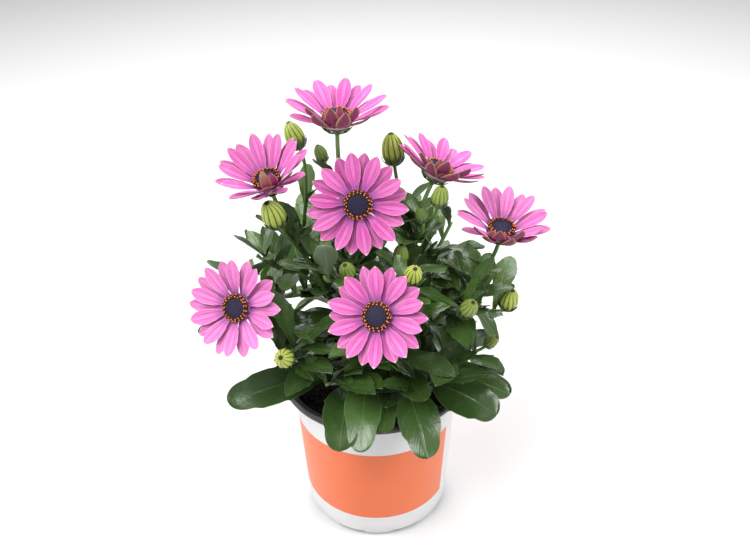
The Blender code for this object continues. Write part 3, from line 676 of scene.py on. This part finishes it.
def stemPaths(name):
    stem = stems[name]
    root = Vector((stem.root[0] * mm, stem.root[1] * mm, soil["height"] + soil["bump"]))
    lean = Vector((*stem.root, 34)).normalized()
    if stem.bloom:
        origin, axis = bloomPlace(blooms[stem.bloom])
        tip = origin - axis * (plateHalf + gap + cupHeight * 0.9)
    else:
        tip = at(*stem.tip)
        axis = Vector(stem.axis).normalized()
    main = Path(root, lean, tip, axis)
    return [main] + [Path(main.point(shoot.share), main.heading(shoot.share), at(*shoot.tip),
                          Vector(shoot.axis).normalized()) for shoot in stem.shoots]


def riseAbove(point, height=110 * mm):
    return min(1.0, max(0.0, (point.z - soil["height"]) / height))


def leafPlan(name, paths):
    draw = random.Random("leaves " + name)
    first, last, count = stems[name].leaves
    azimuth = draw.uniform(0, 360)
    plan = []
    for index in range(count):
        share = first + (last - first) * index / (count - 1)
        rise = riseAbove(paths[0].point(share))
        length = (58 - 30 * rise) * mm * draw.uniform(0.86, 1.1)
        plan.append((0, share, azimuth, 6 + 38 * rise + draw.uniform(-6, 6), length, rise < 0.62))
        azimuth += goldenAngle + draw.uniform(-9, 9)
    for place, shoot in enumerate(stems[name].shoots, 1):
        azimuth = draw.uniform(0, 360)
        first, reach = (0.3, 0.45) if shoot.bud else (0.42, 0.55)
        for index in range(shoot.leaves):
            share = first + reach * (index + 0.5) / shoot.leaves
            rise = riseAbove(paths[place].point(share))
            length = (46 - 20 * rise) * mm * draw.uniform(0.85, 1.1)
            plan.append((place, share, azimuth, 18 + 28 * rise + draw.uniform(-8, 8), length, rise < 0.4))
            azimuth += goldenAngle + draw.uniform(-9, 9)
    return plan


def leafLine(path, share, azimuth, pitch, length):
    base = path.point(share)
    heading = path.heading(share)
    level = polar(1, azimuth)
    outward = (level - heading * level.dot(heading)).normalized()
    direction = (outward * math.cos(pitch) + up * math.sin(pitch)).normalized()
    side = direction.cross(up).normalized()
    return base, base + direction * length, side.cross(direction).normalized()


def solidCorners(node):
    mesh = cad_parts[node].data
    tree = KDTree(len(mesh.vertices))
    for index, vertex in enumerate(mesh.vertices):
        tree.insert(vertex.co, index)
    tree.balance()
    return tree


def leafLines(name, paths):
    # every leaf of the stem's solid: base, tip, up, half width, arch, kind
    corners = solidCorners("stem_" + name)

    def inSolid(tip):
        return corners.find(tip)[2] < 0.1 * mm

    lines = []
    for stem, place, share, tip, halfWidth, arch, face in shownLeaves:
        if stem != name:
            continue
        base = paths[place].point(share)
        for lift in shownLifts:
            end = at(*tip) + up * lift * mm
            if inSolid(end):
                side = (end - base).cross(up - Vector((0, face, 0))).normalized()
                above = side.cross(end - base).normalized()
                lines.append((base, end, above, halfWidth * mm, arch, "broad"))
                break
    for place, share, azimuth, pitch, length, toothed in leafPlan(name, paths):
        for turn, lift, scale in leafTries:
            base, end, above = leafLine(paths[place], share, math.radians(azimuth + turn),
                                        math.radians(pitch + lift), length * scale)
            if inSolid(end):
                kind = "toothed" if toothed else "plain"
                lines.append((base, end, above, length * scale * leafSlender, 0.08, kind))
                break
    return lines


# Leaves

leafShapes = {
    "broad": {"width": ((0, 0.13), (0.12, 0.14), (0.30, 0.38), (0.52, 0.87), (0.70, 1.0), (0.88, 0.76),
                        (0.95, 0.5), (1.0, 0.0)), "teeth": ((0.60, 0.10), (0.80, 0.08))},
    "toothed": {"width": ((0, 0.13), (0.14, 0.18), (0.32, 0.46), (0.50, 0.76), (0.62, 0.88), (0.72, 0.80),
                          (0.86, 0.60), (0.95, 0.30), (1.0, 0.0)), "teeth": ((0.62, 0.15), (0.79, 0.10))},
    "plain": {"width": ((0, 0.15), (0.15, 0.28), (0.38, 0.68), (0.60, 0.94), (0.74, 0.92), (0.88, 0.66),
                        (0.96, 0.34), (1.0, 0.0)), "teeth": ((0.70, 0.07),)},
}
leafBuild = {"across": 8, "thick": 0.55 * mm, "channel": 0.16, "seed": "blades "}
leafSteps = (0, 0.05, 0.1, 0.16, 0.23, 0.3, 0.37, 0.44, 0.51, 0.57, 0.6, 0.62, 0.635, 0.68, 0.73, 0.77,
             0.79, 0.805, 0.85, 0.89, 0.92, 0.945, 0.965, 0.98, 0.991, 0.9975, 1.0)


def tooth(share, teeth, keen):
    # each tooth rises towards the tip, then drops back
    most = 0.0
    for center, size in teeth:
        if center - 0.07 < share <= center + 0.001:
            most = max(most, size * ((share - center + 0.07) / 0.07) ** 1.5)
        elif center < share < center + 0.03:
            most = max(most, size * (1 - (share - center) / 0.03))
    return most * keen


def bowedLine(base, tip, above, arch):
    # its side, and the point and upward direction at a share of it
    crown = (base + tip) * 0.5 + above * arch * (tip - base).length * 2
    side = (tip - base).cross(above).normalized()

    def along(share):
        ahead = (crown - base).lerp(tip - crown, share).normalized()
        return base.lerp(crown, share).lerp(crown.lerp(tip, share), share), side.cross(ahead)

    return side, along


def growLeaf(growth, draw, base, tip, above, halfWidth, arch, kind, youth):
    # a closed thin blade: channeled, waved at the edges, with its teeth
    shape = leafShapes[kind]
    side, along = bowedLine(base, tip, above, arch)
    chance = draw.random()
    keen = (draw.choice((0.2, 1, 1, 1.2)), draw.choice((0.2, 1, 1, 1.2)))
    waves = draw.uniform(1.2, 2.2)
    phase = draw.uniform(0, 6.28)
    wavy = draw.uniform(0.03, 0.10) * halfWidth
    roll = draw.uniform(-0.25, 0.25)
    channel = leafBuild["channel"] * draw.uniform(0.5, 1.5)
    count = leafBuild["across"]
    rows = []
    for share in leafSteps:
        center, lift = along(share)
        width = (straightCurve if share > 0.9 else smoothCurve)(shape["width"], share)
        if share > 0.88 and kind != "toothed":
            roundTip = 0.74 * math.sqrt(max(0.0, 1 - ((share - 0.88) / 0.12) ** 2))
            width = max(width, roundTip * (1 if kind == "broad" else 0.8))
        pairs = []
        for index in range(count + 1):
            across = 2 * index / count - 1
            across = math.copysign(abs(across) ** 0.9, across)
            spread = width + tooth(share, shape["teeth"], keen[across > 0]) * (abs(across) ** 3)
            reach = halfWidth * spread * across
            dip = -halfWidth * width * channel * (1 - across * across)
            wave = waves * 6.28 * share + phase + (2.1 if across > 0 else 0)
            dip += wavy * abs(across) ** 2 * math.sin(wave)
            dip += roll * halfWidth * across * share * 0.35
            rib = -0.22 * mm * math.exp(-(across / 0.10) ** 2) * (1 - share)
            point = center + side * reach + lift * (dip + rib)
            thick = leafBuild["thick"] * (1 - abs(across) ** 3) + 0.05 * mm
            thick += 0.7 * mm * (1 - share) ** 2 * math.exp(-(across / 0.28) ** 2)
            pairs.append((point, point - lift * thick))
        rows.append((share, pairs))
    closeSheet(growth, rows, chance, youth)


def closeSheet(growth, rows, chance, youth, spots=None):
    # a top and an underside joined round the edge; a row is its share of the length and its pairs of points
    width = len(rows[0][1])
    last = width - 1
    spots = spots or [index / last for index in range(width)]
    places = [[(spot, share) for spot in spots] for share, _ in rows]
    top = growth.grid([[pair[0] for pair in pairs] for _, pairs in rows], places,
                      [[(chance, 0, youth)] * width] * len(rows))
    under = growth.grid([[pair[1] for pair in reversed(pairs)] for _, pairs in rows],
                        [row[::-1] for row in places], [[(chance, 1, youth)] * width] * len(rows))
    for row in range(len(rows) - 1):
        low, high = row * width, (row + 1) * width
        growth.cap((top + high, under + high + last, under + low + last, top + low))
        growth.cap((top + low + last, under + low, under + high, top + high + last))
    end = (len(rows) - 1) * width
    for index in range(last):
        growth.cap((top + index, under + last - index, under + last - index - 1, top + index + 1))
        growth.cap((top + end + index + 1, under + end + last - index - 1, under + end + last - index,
                    top + end + index))


# Stalks, cups and buds

def growTube(growth, centers, radii, tones, sides=12, ribs=0):
    side = Vector((1, 0, 0))
    last = len(centers) - 1
    rows = []
    for index, center in enumerate(centers):
        ahead = (centers[min(index + 1, last)] - centers[max(index - 1, 0)]).normalized()
        side = (side - ahead * side.dot(ahead)).normalized()
        other = ahead.cross(side)
        row = []
        for angle in turns(sides):
            radius = radii[index] * (1 + 0.07 * math.cos(ribs * angle))
            row.append(center + (side * math.cos(angle) + other * math.sin(angle)) * radius)
        rows.append(row)
    rows = [[centers[0]] * sides] + rows + [[centers[-1]] * sides]
    growth.rings(rows, [tones[0]] + tones + [tones[-1]])


def growStalk(growth, path, start, end, steps, sink=0.0):
    shares = [index / (steps - 1) for index in range(steps)]
    centers = [path.point(share) for share in shares]
    radii = [start + (end - start) * share for share in shares]
    if sink:
        centers.insert(0, centers[0] - up * sink)
        radii.insert(0, start)
        shares.insert(0, 0)
    growTube(growth, centers, radii, [(0, share, 0) for share in shares], 12, 5)


greenCup = {"sides": 28, "bracts": 13, "profile": (
    (0.0, -cupHeight), (1.15, -cupHeight), (1.6, -cupHeight * 0.86), (2.9, -cupHeight * 0.62),
    (4.9, -cupHeight * 0.36), (6.3, -1.3 * mm), (6.7, -0.5 * mm), (5.8, 0.0), (0.0, 0.0))}


def growCup(growth, origin, axis):
    # the flared green cup under a bloom
    turn = axisFrame(axis)
    under = -plateHalf - gap
    rows = []
    for radius, rise in greenCup["profile"]:
        row = []
        for angle in turns(greenCup["sides"]):
            out = radius * mm * (1 + 0.05 * math.cos(14 * angle) * (radius > 2))
            row.append(origin + turn @ polar(out, angle, under + rise))
        rows.append(row)
    growth.rings(rows, (0, 0.9, 0))


def growBracts(growth, draw, origin, axis, tilt):
    # its narrow pointed bracts
    turn = axisFrame(axis)
    count = greenCup["bracts"]
    for index in range(count):
        angle = 2 * math.pi * (index + draw.uniform(-0.15, 0.15)) / count
        outward = polar(1, angle)
        base = outward * 4.0 * mm + up * (-plateHalf - gap - cupHeight * 0.52)
        slope = math.radians(tilt * 0.72 + 6)
        out = 6.4 * mm + 4.2 * mm * draw.uniform(0.9, 1.1) * math.cos(slope) * 0.6
        tip = outward * out + up * (-plateHalf - gap - 0.9 * mm + 3.0 * mm * math.sin(slope) * 0.6)
        above = (up * 0.8 - outward * 0.6).normalized()
        growSliver(growth, origin + turn @ base, origin + turn @ tip, turn @ above, 1.2 * mm, -0.14, 0.35)


def growSliver(growth, base, tip, above, halfWidth, arch, youth):
    # a narrow pointed bract
    side, along = bowedLine(base, tip, above, arch)
    rows = []
    for share in (0, 0.25, 0.5, 0.75, 0.92, 1.0):
        center, lift = along(share)
        width = halfWidth * (1 - share ** 2.2) ** 0.9 + 0.04 * mm
        row = [center + side * width * across - lift * 0.12 * mm * (1 - abs(across))
               for across in (-1, -0.4, 0.4, 1)]
        rows.append((share, [(point, point - lift * 0.35 * mm * (1 - 0.8 * share)) for point in row]))
    closeSheet(growth, rows, 0.4, youth, (0.1, 0.35, 0.65, 0.9))


bud = {"stretch": 3.0, "ribs": 11, "ribSides": 6, "steps": 26, "groove": 0.13, "bracts": 9, "profile": (
    (0.0, 0.30), (0.05, 0.55), (0.14, 0.80), (0.30, 0.98), (0.45, 1.0), (0.62, 0.92), (0.78, 0.74),
    (0.90, 0.50), (0.97, 0.26), (1.0, 0.12))}


def growBud(growth, draw, tip, axis, radius, glow):
    # ribbed, closed to a small dark mouth at the top
    turn = axisFrame(axis)
    length = radius * bud["stretch"]
    sides = bud["ribs"] * bud["ribSides"]
    twist = draw.uniform(-0.5, 0.5)

    def middle(share):
        return [tip + turn @ Vector((0, 0, length * mm * share))] * sides

    rows, tones, places = [middle(-0.03)], [[(0.2, 0, glow)] * sides], [[(0, 0)] * sides]
    for step in range(bud["steps"] + 1):
        share = step / bud["steps"]
        row, toneRow = [], []
        for angle in turns(sides):
            ridge = abs(math.cos(0.5 * bud["ribs"] * (angle + twist * share)))
            swell = straightCurve(bud["profile"], share) * (1 - bud["groove"] * (1 - ridge ** 0.7))
            height = length * mm * (share - 0.03 * (share > 0.95) * (1 - ridge))
            row.append(tip + turn @ polar(radius * mm * swell, angle, height))
            toneRow.append((ridge, 0, glow))
        rows.append(row)
        tones.append(toneRow)
        places.append([(side / sides, share) for side in range(sides)])
    rows.append(middle(0.93))
    tones.append([(0.0, 0, glow)] * sides)
    places.append([(0, 1)] * sides)
    growth.grid(rows, places, tones, closed=True)


def growBudBracts(growth, draw, tip, axis, radius):
    turn = axisFrame(axis)
    for index in range(bud["bracts"]):
        outward = polar(1, 2 * math.pi * (index + draw.uniform(-0.2, 0.2)) / bud["bracts"])
        base = tip + turn @ (outward * radius * 0.45 * mm + up * 0.2 * mm)
        reach = draw.uniform(0.55, 0.8)
        end = tip + turn @ (outward * radius * 1.05 * mm + up * radius * 2.6 * reach * mm * 0.62)
        above = turn @ (up * 0.25 - outward).normalized()
        growSliver(growth, base, end, above, radius * 0.26 * mm, -0.16, 0.25)


fill = {
    # more small leaves than the solids can hold: how many a path gets, their length, how near a bloom or bud
    "main": 17, "shoot": 7, "length": (17, 31), "clear": 31 * mm, "bud": 10 * mm, "budMiddle": 7,
    "reach": 78 * mm, "low": 128 * mm, "high": 236 * mm,
}


def fillLines(name, paths):
    # small leaves between the large ones, kept inside the plant and out of the blooms' faces
    draw = random.Random("fill " + name)
    faces = [bloomPlace(bloom) for bloom in blooms.values()]
    budMiddles = [at(*shoot.tip) + up * fill["budMiddle"] * mm
                  for stem in stems.values() for shoot in stem.shoots if shoot.bud]

    def inTheWay(point):
        for origin, axis in faces:
            away = point - origin
            height = away.dot(axis)
            if height > -5 * mm and (away - axis * height).length < fill["clear"]:
                return True
        return any((middle - point).length < fill["bud"] for middle in budMiddles)

    lines = []
    for place, path in enumerate(paths):
        inner = not place or stems[name].shoots[place - 1].bud
        for _ in range(fill["shoot"] if place else fill["main"]):
            share = draw.uniform(0.22, 0.80) if inner else draw.uniform(0.3, 1.0)
            azimuth = draw.uniform(0, 2 * math.pi)
            rise = riseAbove(path.point(share))
            pitch = math.radians(18 + 34 * rise + draw.uniform(-12, 14))
            length = draw.uniform(*fill["length"]) * mm * (1.25 - 0.4 * rise)
            base, end, above = leafLine(path, share, azimuth, pitch, length)
            outside = math.hypot(end.x, end.y) > fill["reach"] or not fill["low"] <= end.z <= fill["high"]
            if outside or inTheWay((base + end) * 0.5) or inTheWay(end):
                continue
            kind = draw.choice(("toothed", "toothed", "plain"))
            halfWidth = length * draw.uniform(0.19, 0.25)
            lines.append((base, end, above, halfWidth, draw.uniform(0.04, 0.14), kind))
    return lines


def makeStem(name, finishes):
    leafLook, stalkLook, budLook = finishes
    stem = stems[name]
    paths = stemPaths(name)
    lines = leafLines(name, paths) + fillLines(name, paths)
    draw = random.Random(leafBuild["seed"] + name)
    node = "stem_" + name
    leaves = Growth()
    for base, tip, above, halfWidth, arch, kind in lines:
        height = (base.z - soil["height"]) / (130 * mm)
        youth = max(0.0, min(1.0, height * 0.55 + draw.uniform(-0.25, 0.25))) * 0.8
        if kind == "broad" and halfWidth > 8 * mm:
            youth *= 0.35
        growLeaf(leaves, draw, base, tip, above, halfWidth, arch, kind, youth)
    stalks = Growth()
    growStalk(stalks, paths[0], stemRadius, 1.1 * mm, 26, 12 * mm)
    for path in paths[1:]:
        growStalk(stalks, path, 1.15 * mm, 0.95 * mm, 16)
    if stem.bloom:
        origin, axis = bloomPlace(blooms[stem.bloom])
        growCup(stalks, origin, axis)
        growBracts(leaves, draw, origin, axis, blooms[stem.bloom].cup)
    buds = Growth()
    for path, shoot in zip(paths[1:], stem.shoots):
        if shoot.bud:
            growBud(buds, draw, path.point(1.0), path.heading(1.0), shoot.bud, shoot.glow)
            growBudBracts(leaves, draw, path.point(1.0), path.heading(1.0), shoot.bud)
    leaves.piece("leaves_" + name, [leafLook], "foliage", node, sharp=70)
    stalks.piece("stalks_" + name, [stalkLook], "foliage", node)
    if buds.points:
        buds.piece("buds_" + name, [budLook], "foliage", node)
    print("stem", name, len(lines), "leaves")


# Blooms

petalShape = ((0, 0.27), (0.15, 0.44), (0.40, 0.84), (0.60, 1.0), (0.76, 0.93), (0.88, 0.64), (0.95, 0.33),
              (1.0, 0.03))
petalSteps = (0, 0.08, 0.16, 0.25, 0.34, 0.43, 0.52, 0.61, 0.70, 0.78, 0.85, 0.90, 0.94, 0.97, 0.99, 1.0)
petalBuild = {"across": 8, "thick": 0.34 * mm, "seed": "petals "}
disc = {
    # rows of open florets: count, radius, rise
    "radius": 7.8 * mm, "dome": 5.2 * mm, "sides": 48, "tips": 110,
    "rows": ((20, 7.3, 0.0), (19, 6.2, 0.25)),
}


def growPetal(growth, draw, turn, origin, angle, cup, length, height, folding, pale):
    # channeled lengthwise, with two soft ridges and a small point at the tip
    outward = polar(1, angle)
    side = Vector((-outward.y, outward.x, 0))
    start = outward * (plateRadius - 0.5 * mm) + up * (height + 0.35 * mm)
    curl = draw.uniform(-0.06, 0.10) + folding
    sway = draw.uniform(-0.9, 0.9) * mm
    twist = draw.uniform(-0.22, 0.22)
    hollow = draw.uniform(0.12, 0.30)
    broad = petalHalfWidth * draw.uniform(0.90, 1.07)
    chance = min(1, pale + 0.4 * draw.random())
    length = (length + 0.5 * mm) * (1 - 0.12 * folding)
    count = petalBuild["across"]
    rows = []
    for share in petalSteps:
        above = up * math.cos(cup) - outward * math.sin(cup)
        center = start + (outward * math.cos(cup) + up * math.sin(cup)) * length * share
        arch = 0.13 * share * (1 - share) + curl * 0.5 * share ** 3
        center += above * length * arch + side * sway * share * share
        lean = twist * share
        across3 = side * math.cos(lean) + above * math.sin(lean)
        normal = above * math.cos(lean) - side * math.sin(lean)
        width = broad * (smoothCurve if share < 0.76 else straightCurve)(petalShape, share)
        pairs = []
        for index in range(count + 1):
            across = 2 * index / count - 1
            ridge = 0.10 * mm * math.cos(across * 9.42) * math.sin(3.14 * min(1, share * 1.1))
            dip = -hollow * width * (1 - across * across) + ridge
            point = center + across3 * width * across + normal * dip
            thick = petalBuild["thick"] * (1 - abs(across) ** 3) + 0.04 * mm
            pairs.append((origin + turn @ point, origin + turn @ (point - normal * thick)))
        rows.append((share, pairs))
    closeSheet(growth, rows, chance, 0)


foldedPetals = {
    # turn from the front, half width, line of (distance from the axis, height), youth
    "top": (
        (-44, 2.9, ((6.0, -0.4), (9.6, 0.8), (12.6, 2.8), (14.6, 5.6), (14.8, 8.2)), 0.6),
        (-27, 2.5, ((6.0, -0.4), (8.8, 1.2), (10.4, 4.4), (10.6, 8.2), (9.6, 11.4)), 0.3),
        (-9, 2.7, ((6.0, -0.4), (9.4, 1.0), (11.6, 3.8), (12.2, 7.4), (11.2, 10.4)), 0.0),
        (10, 2.7, ((6.0, -0.4), (8.8, 1.2), (10.4, 4.6), (10.4, 9.0), (8.8, 12.6)), 0.0),
        (27, 3.0, ((6.0, -0.4), (9.6, 0.8), (12.4, 2.8), (14.0, 5.6), (13.8, 8.4)), 0.2),
    ),
    "upper_left": (
        (6, 2.7, ((6.6, 0.6), (8.8, 3.6), (9.4, 8.2), (7.8, 12.2), (5.2, 14.0)), 0.6),
        (36, 2.3, ((6.6, 0.6), (9.0, 3.6), (9.8, 7.4), (8.8, 10.4), (7.0, 11.8)), 0.0),
    ),
    "upper_right": (
        (-40, 2.8, ((6.2, -0.4), (9.6, 1.2), (12.2, 3.6), (13.6, 6.6), (13.4, 9.4)), 0.5),
        (-18, 2.5, ((6.2, -0.4), (9.0, 1.4), (10.8, 4.4), (11.2, 8.0), (10.2, 11.0)), 0.2),
        (6, 2.9, ((6.2, -0.4), (9.8, 1.0), (12.6, 3.0), (14.4, 5.6), (14.4, 8.0)), 0.1),
    ),
    "right": (
        (-34, 3.8, ((6.2, -0.4), (9.4, 0.8), (11.8, 3.4), (12.6, 6.6), (11.6, 9.2)), 0.2),
        (0, 4.0, ((6.2, -0.4), (9.4, 0.8), (12.0, 3.2), (13.2, 6.2), (12.6, 8.8)), 0.0),
        (32, 3.8, ((6.2, -0.4), (9.6, 0.6), (12.4, 2.8), (14.0, 5.6), (13.8, 8.2)), 0.2),
    ),
}


def growFoldedPetal(growth, turn, origin, angle, halfWidth, line, youth):
    # a young petal still folded over the disc, its bronze back outward
    outward = polar(1, angle)
    side = Vector((-outward.y, outward.x, 0))
    rows = []
    for index in range(13):
        share = index / 12
        spot = share * (len(line) - 1)
        low = min(int(spot), len(line) - 2)
        part = spot - low
        radius, rise = [line[low][k] + (line[low + 1][k] - line[low][k]) * part for k in (0, 1)]
        width = halfWidth * mm * math.sin(math.pi * (0.14 + 0.80 * share)) ** 0.7
        center = outward * radius * mm + up * rise * mm
        slope = Vector(line[low + 1]) - Vector(line[low])
        slope.normalize()
        inward = outward * -slope.y + up * slope.x
        pairs = []
        for step in range(7):
            across = step / 3 - 1
            point = center + side * width * across + inward * width * 0.45 * across * across
            pairs.append((origin + turn @ point, origin + turn @ (point - inward * 0.3 * mm)))
        rows.append((share * 0.9, pairs))
    closeSheet(growth, rows, 0.5, youth)


def makeRays(name, look):
    bloom = blooms[name]
    origin, axis = bloomPlace(bloom)
    turn = axisFrame(axis)
    front = turn.transposed() @ Vector((0, -1, 0))
    facing = math.atan2(front.y, front.x)
    plan = random.Random("rays " + name)
    draw = random.Random(petalBuild["seed"] + name)
    growth = Growth()
    sides = petalsPerLayer * 2
    for layer in (0, 1):
        for index in range(layer, sides, 2):
            angle = 2 * math.pi * (index + 0.5) / sides + math.radians(plan.uniform(-2.5, 2.5))
            cup = bloom.cup + plan.uniform(-1.5, 1.5) - (1 - layer) * (4 + 0.13 * bloom.cup)
            length = petalLength * bloom.long * plan.uniform(0.94, 1.03)
            folding = bloom.curl * max(0, math.cos(angle - facing)) ** 2
            height = plateHalf * (layer - 0.5)
            growPetal(growth, draw, turn, origin, angle, math.radians(cup), length, height, folding,
                      bloom.pale)
    for off, halfWidth, line, youth in foldedPetals.get(name, ()):
        growFoldedPetal(growth, turn, origin, facing + math.radians(off), halfWidth, line, youth)
    growTube(growth, [origin + axis * -plateHalf, origin + axis * plateHalf], [plateRadius, plateRadius],
             [(0.2, 0, 0), (0.2, 0, 0)], 24)
    growth.piece("petals_" + name, [look], "petals", "rays_" + name, sharp=70)


def openFloret(growth, draw, origin, turn, spot, angle):
    # a small dark star with its pollen on top
    def grain(place, sizes, sides, rings, tone):
        bead(growth, origin + turn @ place, [size * mm for size in sizes], sides, rings, tone, turn)

    grain(spot - up * 0.7 * mm, (0.45, 0.45, 1.0), 8, 5, (0.4, 0.7, 0))
    for _ in range(2):
        jitter = Vector((draw.uniform(-0.3, 0.3), draw.uniform(-0.3, 0.3), draw.uniform(0.15, 0.45))) * mm
        size = draw.uniform(0.28, 0.42)
        grain(spot + jitter, (size, size, size * 1.2), 8, 5, (0.9, draw.random(), 0))
    for point in range(5):
        lobe = spot + polar(1, angle + 2 * math.pi * point / 5) * 0.6 * mm - up * 0.15 * mm
        grain(lobe, (0.28, 0.28, 0.15), 6, 3, (0.4, 0.9, 0))


def makeDisc(name, look):
    bloom = blooms[name]
    origin, axis = bloomPlace(bloom)
    turn = axisFrame(axis)
    draw = random.Random("florets " + name)
    growth = Growth()
    top = discHeight(bloom)
    radius, dome = disc["radius"], disc["dome"]
    foot = plateHalf + gap
    edge = (radius - plateRadius) * math.tan(math.radians(bloom.cup + 3)) + foot + 0.5 * mm
    # radius, height and kind: the side, then the dark dome of closed florets
    profile = ((0.0, foot, 0.4), (plateRadius - 0.6 * mm, foot, 0.4), (radius - 0.3 * mm, edge, 0.4),
               (radius - 0.2 * mm, (edge + top) / 2, 0.4), (radius - 1.2 * mm, top - 0.3 * mm, 0.4),
               (dome, top - 0.7 * mm, 0.4), (dome - 0.4 * mm, top - 0.5 * mm, 0.0),
               (dome * 0.7, top - 0.25 * mm, 0.0), (dome * 0.35, top - 0.1 * mm, 0.0),
               (0.0, top - 0.15 * mm, 0.0))
    rows = [[origin + turn @ polar(out, angle, height) for angle in turns(disc["sides"])]
            for out, height, _ in profile]
    growth.rings(rows, [(kind, 0.2, 0) for _, _, kind in profile])
    for index in range(disc["tips"]):
        share = (index + 0.5) / disc["tips"]
        height = top - 0.2 * mm - 0.35 * mm * share + 0.12 * mm
        spot = polar(dome * 0.97 * math.sqrt(share), math.radians(index * goldenAngle), height)
        size = (0.26 + 0.16 * share) * mm
        shade = 0.25 + 0.6 * share * draw.uniform(0.7, 1.2)
        bead(growth, origin + turn @ spot, (size, size, size * 1.5), 6, 4, (0.0, shade, 0), turn)
    for count, out, rise in disc["rows"]:
        for index in range(count):
            angle = 2 * math.pi * (index + draw.uniform(-0.2, 0.2)) / count
            spot = polar(1, angle) * out * mm + up * (top + (rise + draw.uniform(-0.2, 0.15)) * mm)
            openFloret(growth, draw, origin, turn, spot, angle)
    growth.piece("florets_" + name, [look], "disc", "disc_" + name)


def main():
    makeCamera()
    makeStudio()
    print("camera and studio ready")
    makePot()
    makeSoil(soilFinish())
    print("pot and soil ready")
    finishes = (leafFinish(), stalkFinish(), budFinish())
    for name in stems:
        makeStem(name, finishes)
    petal = petalFinish()
    floret = floretFinish()
    for name in blooms:
        makeRays(name, petal)
        makeDisc(name, floret)
    print("blooms ready")
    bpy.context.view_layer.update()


main()
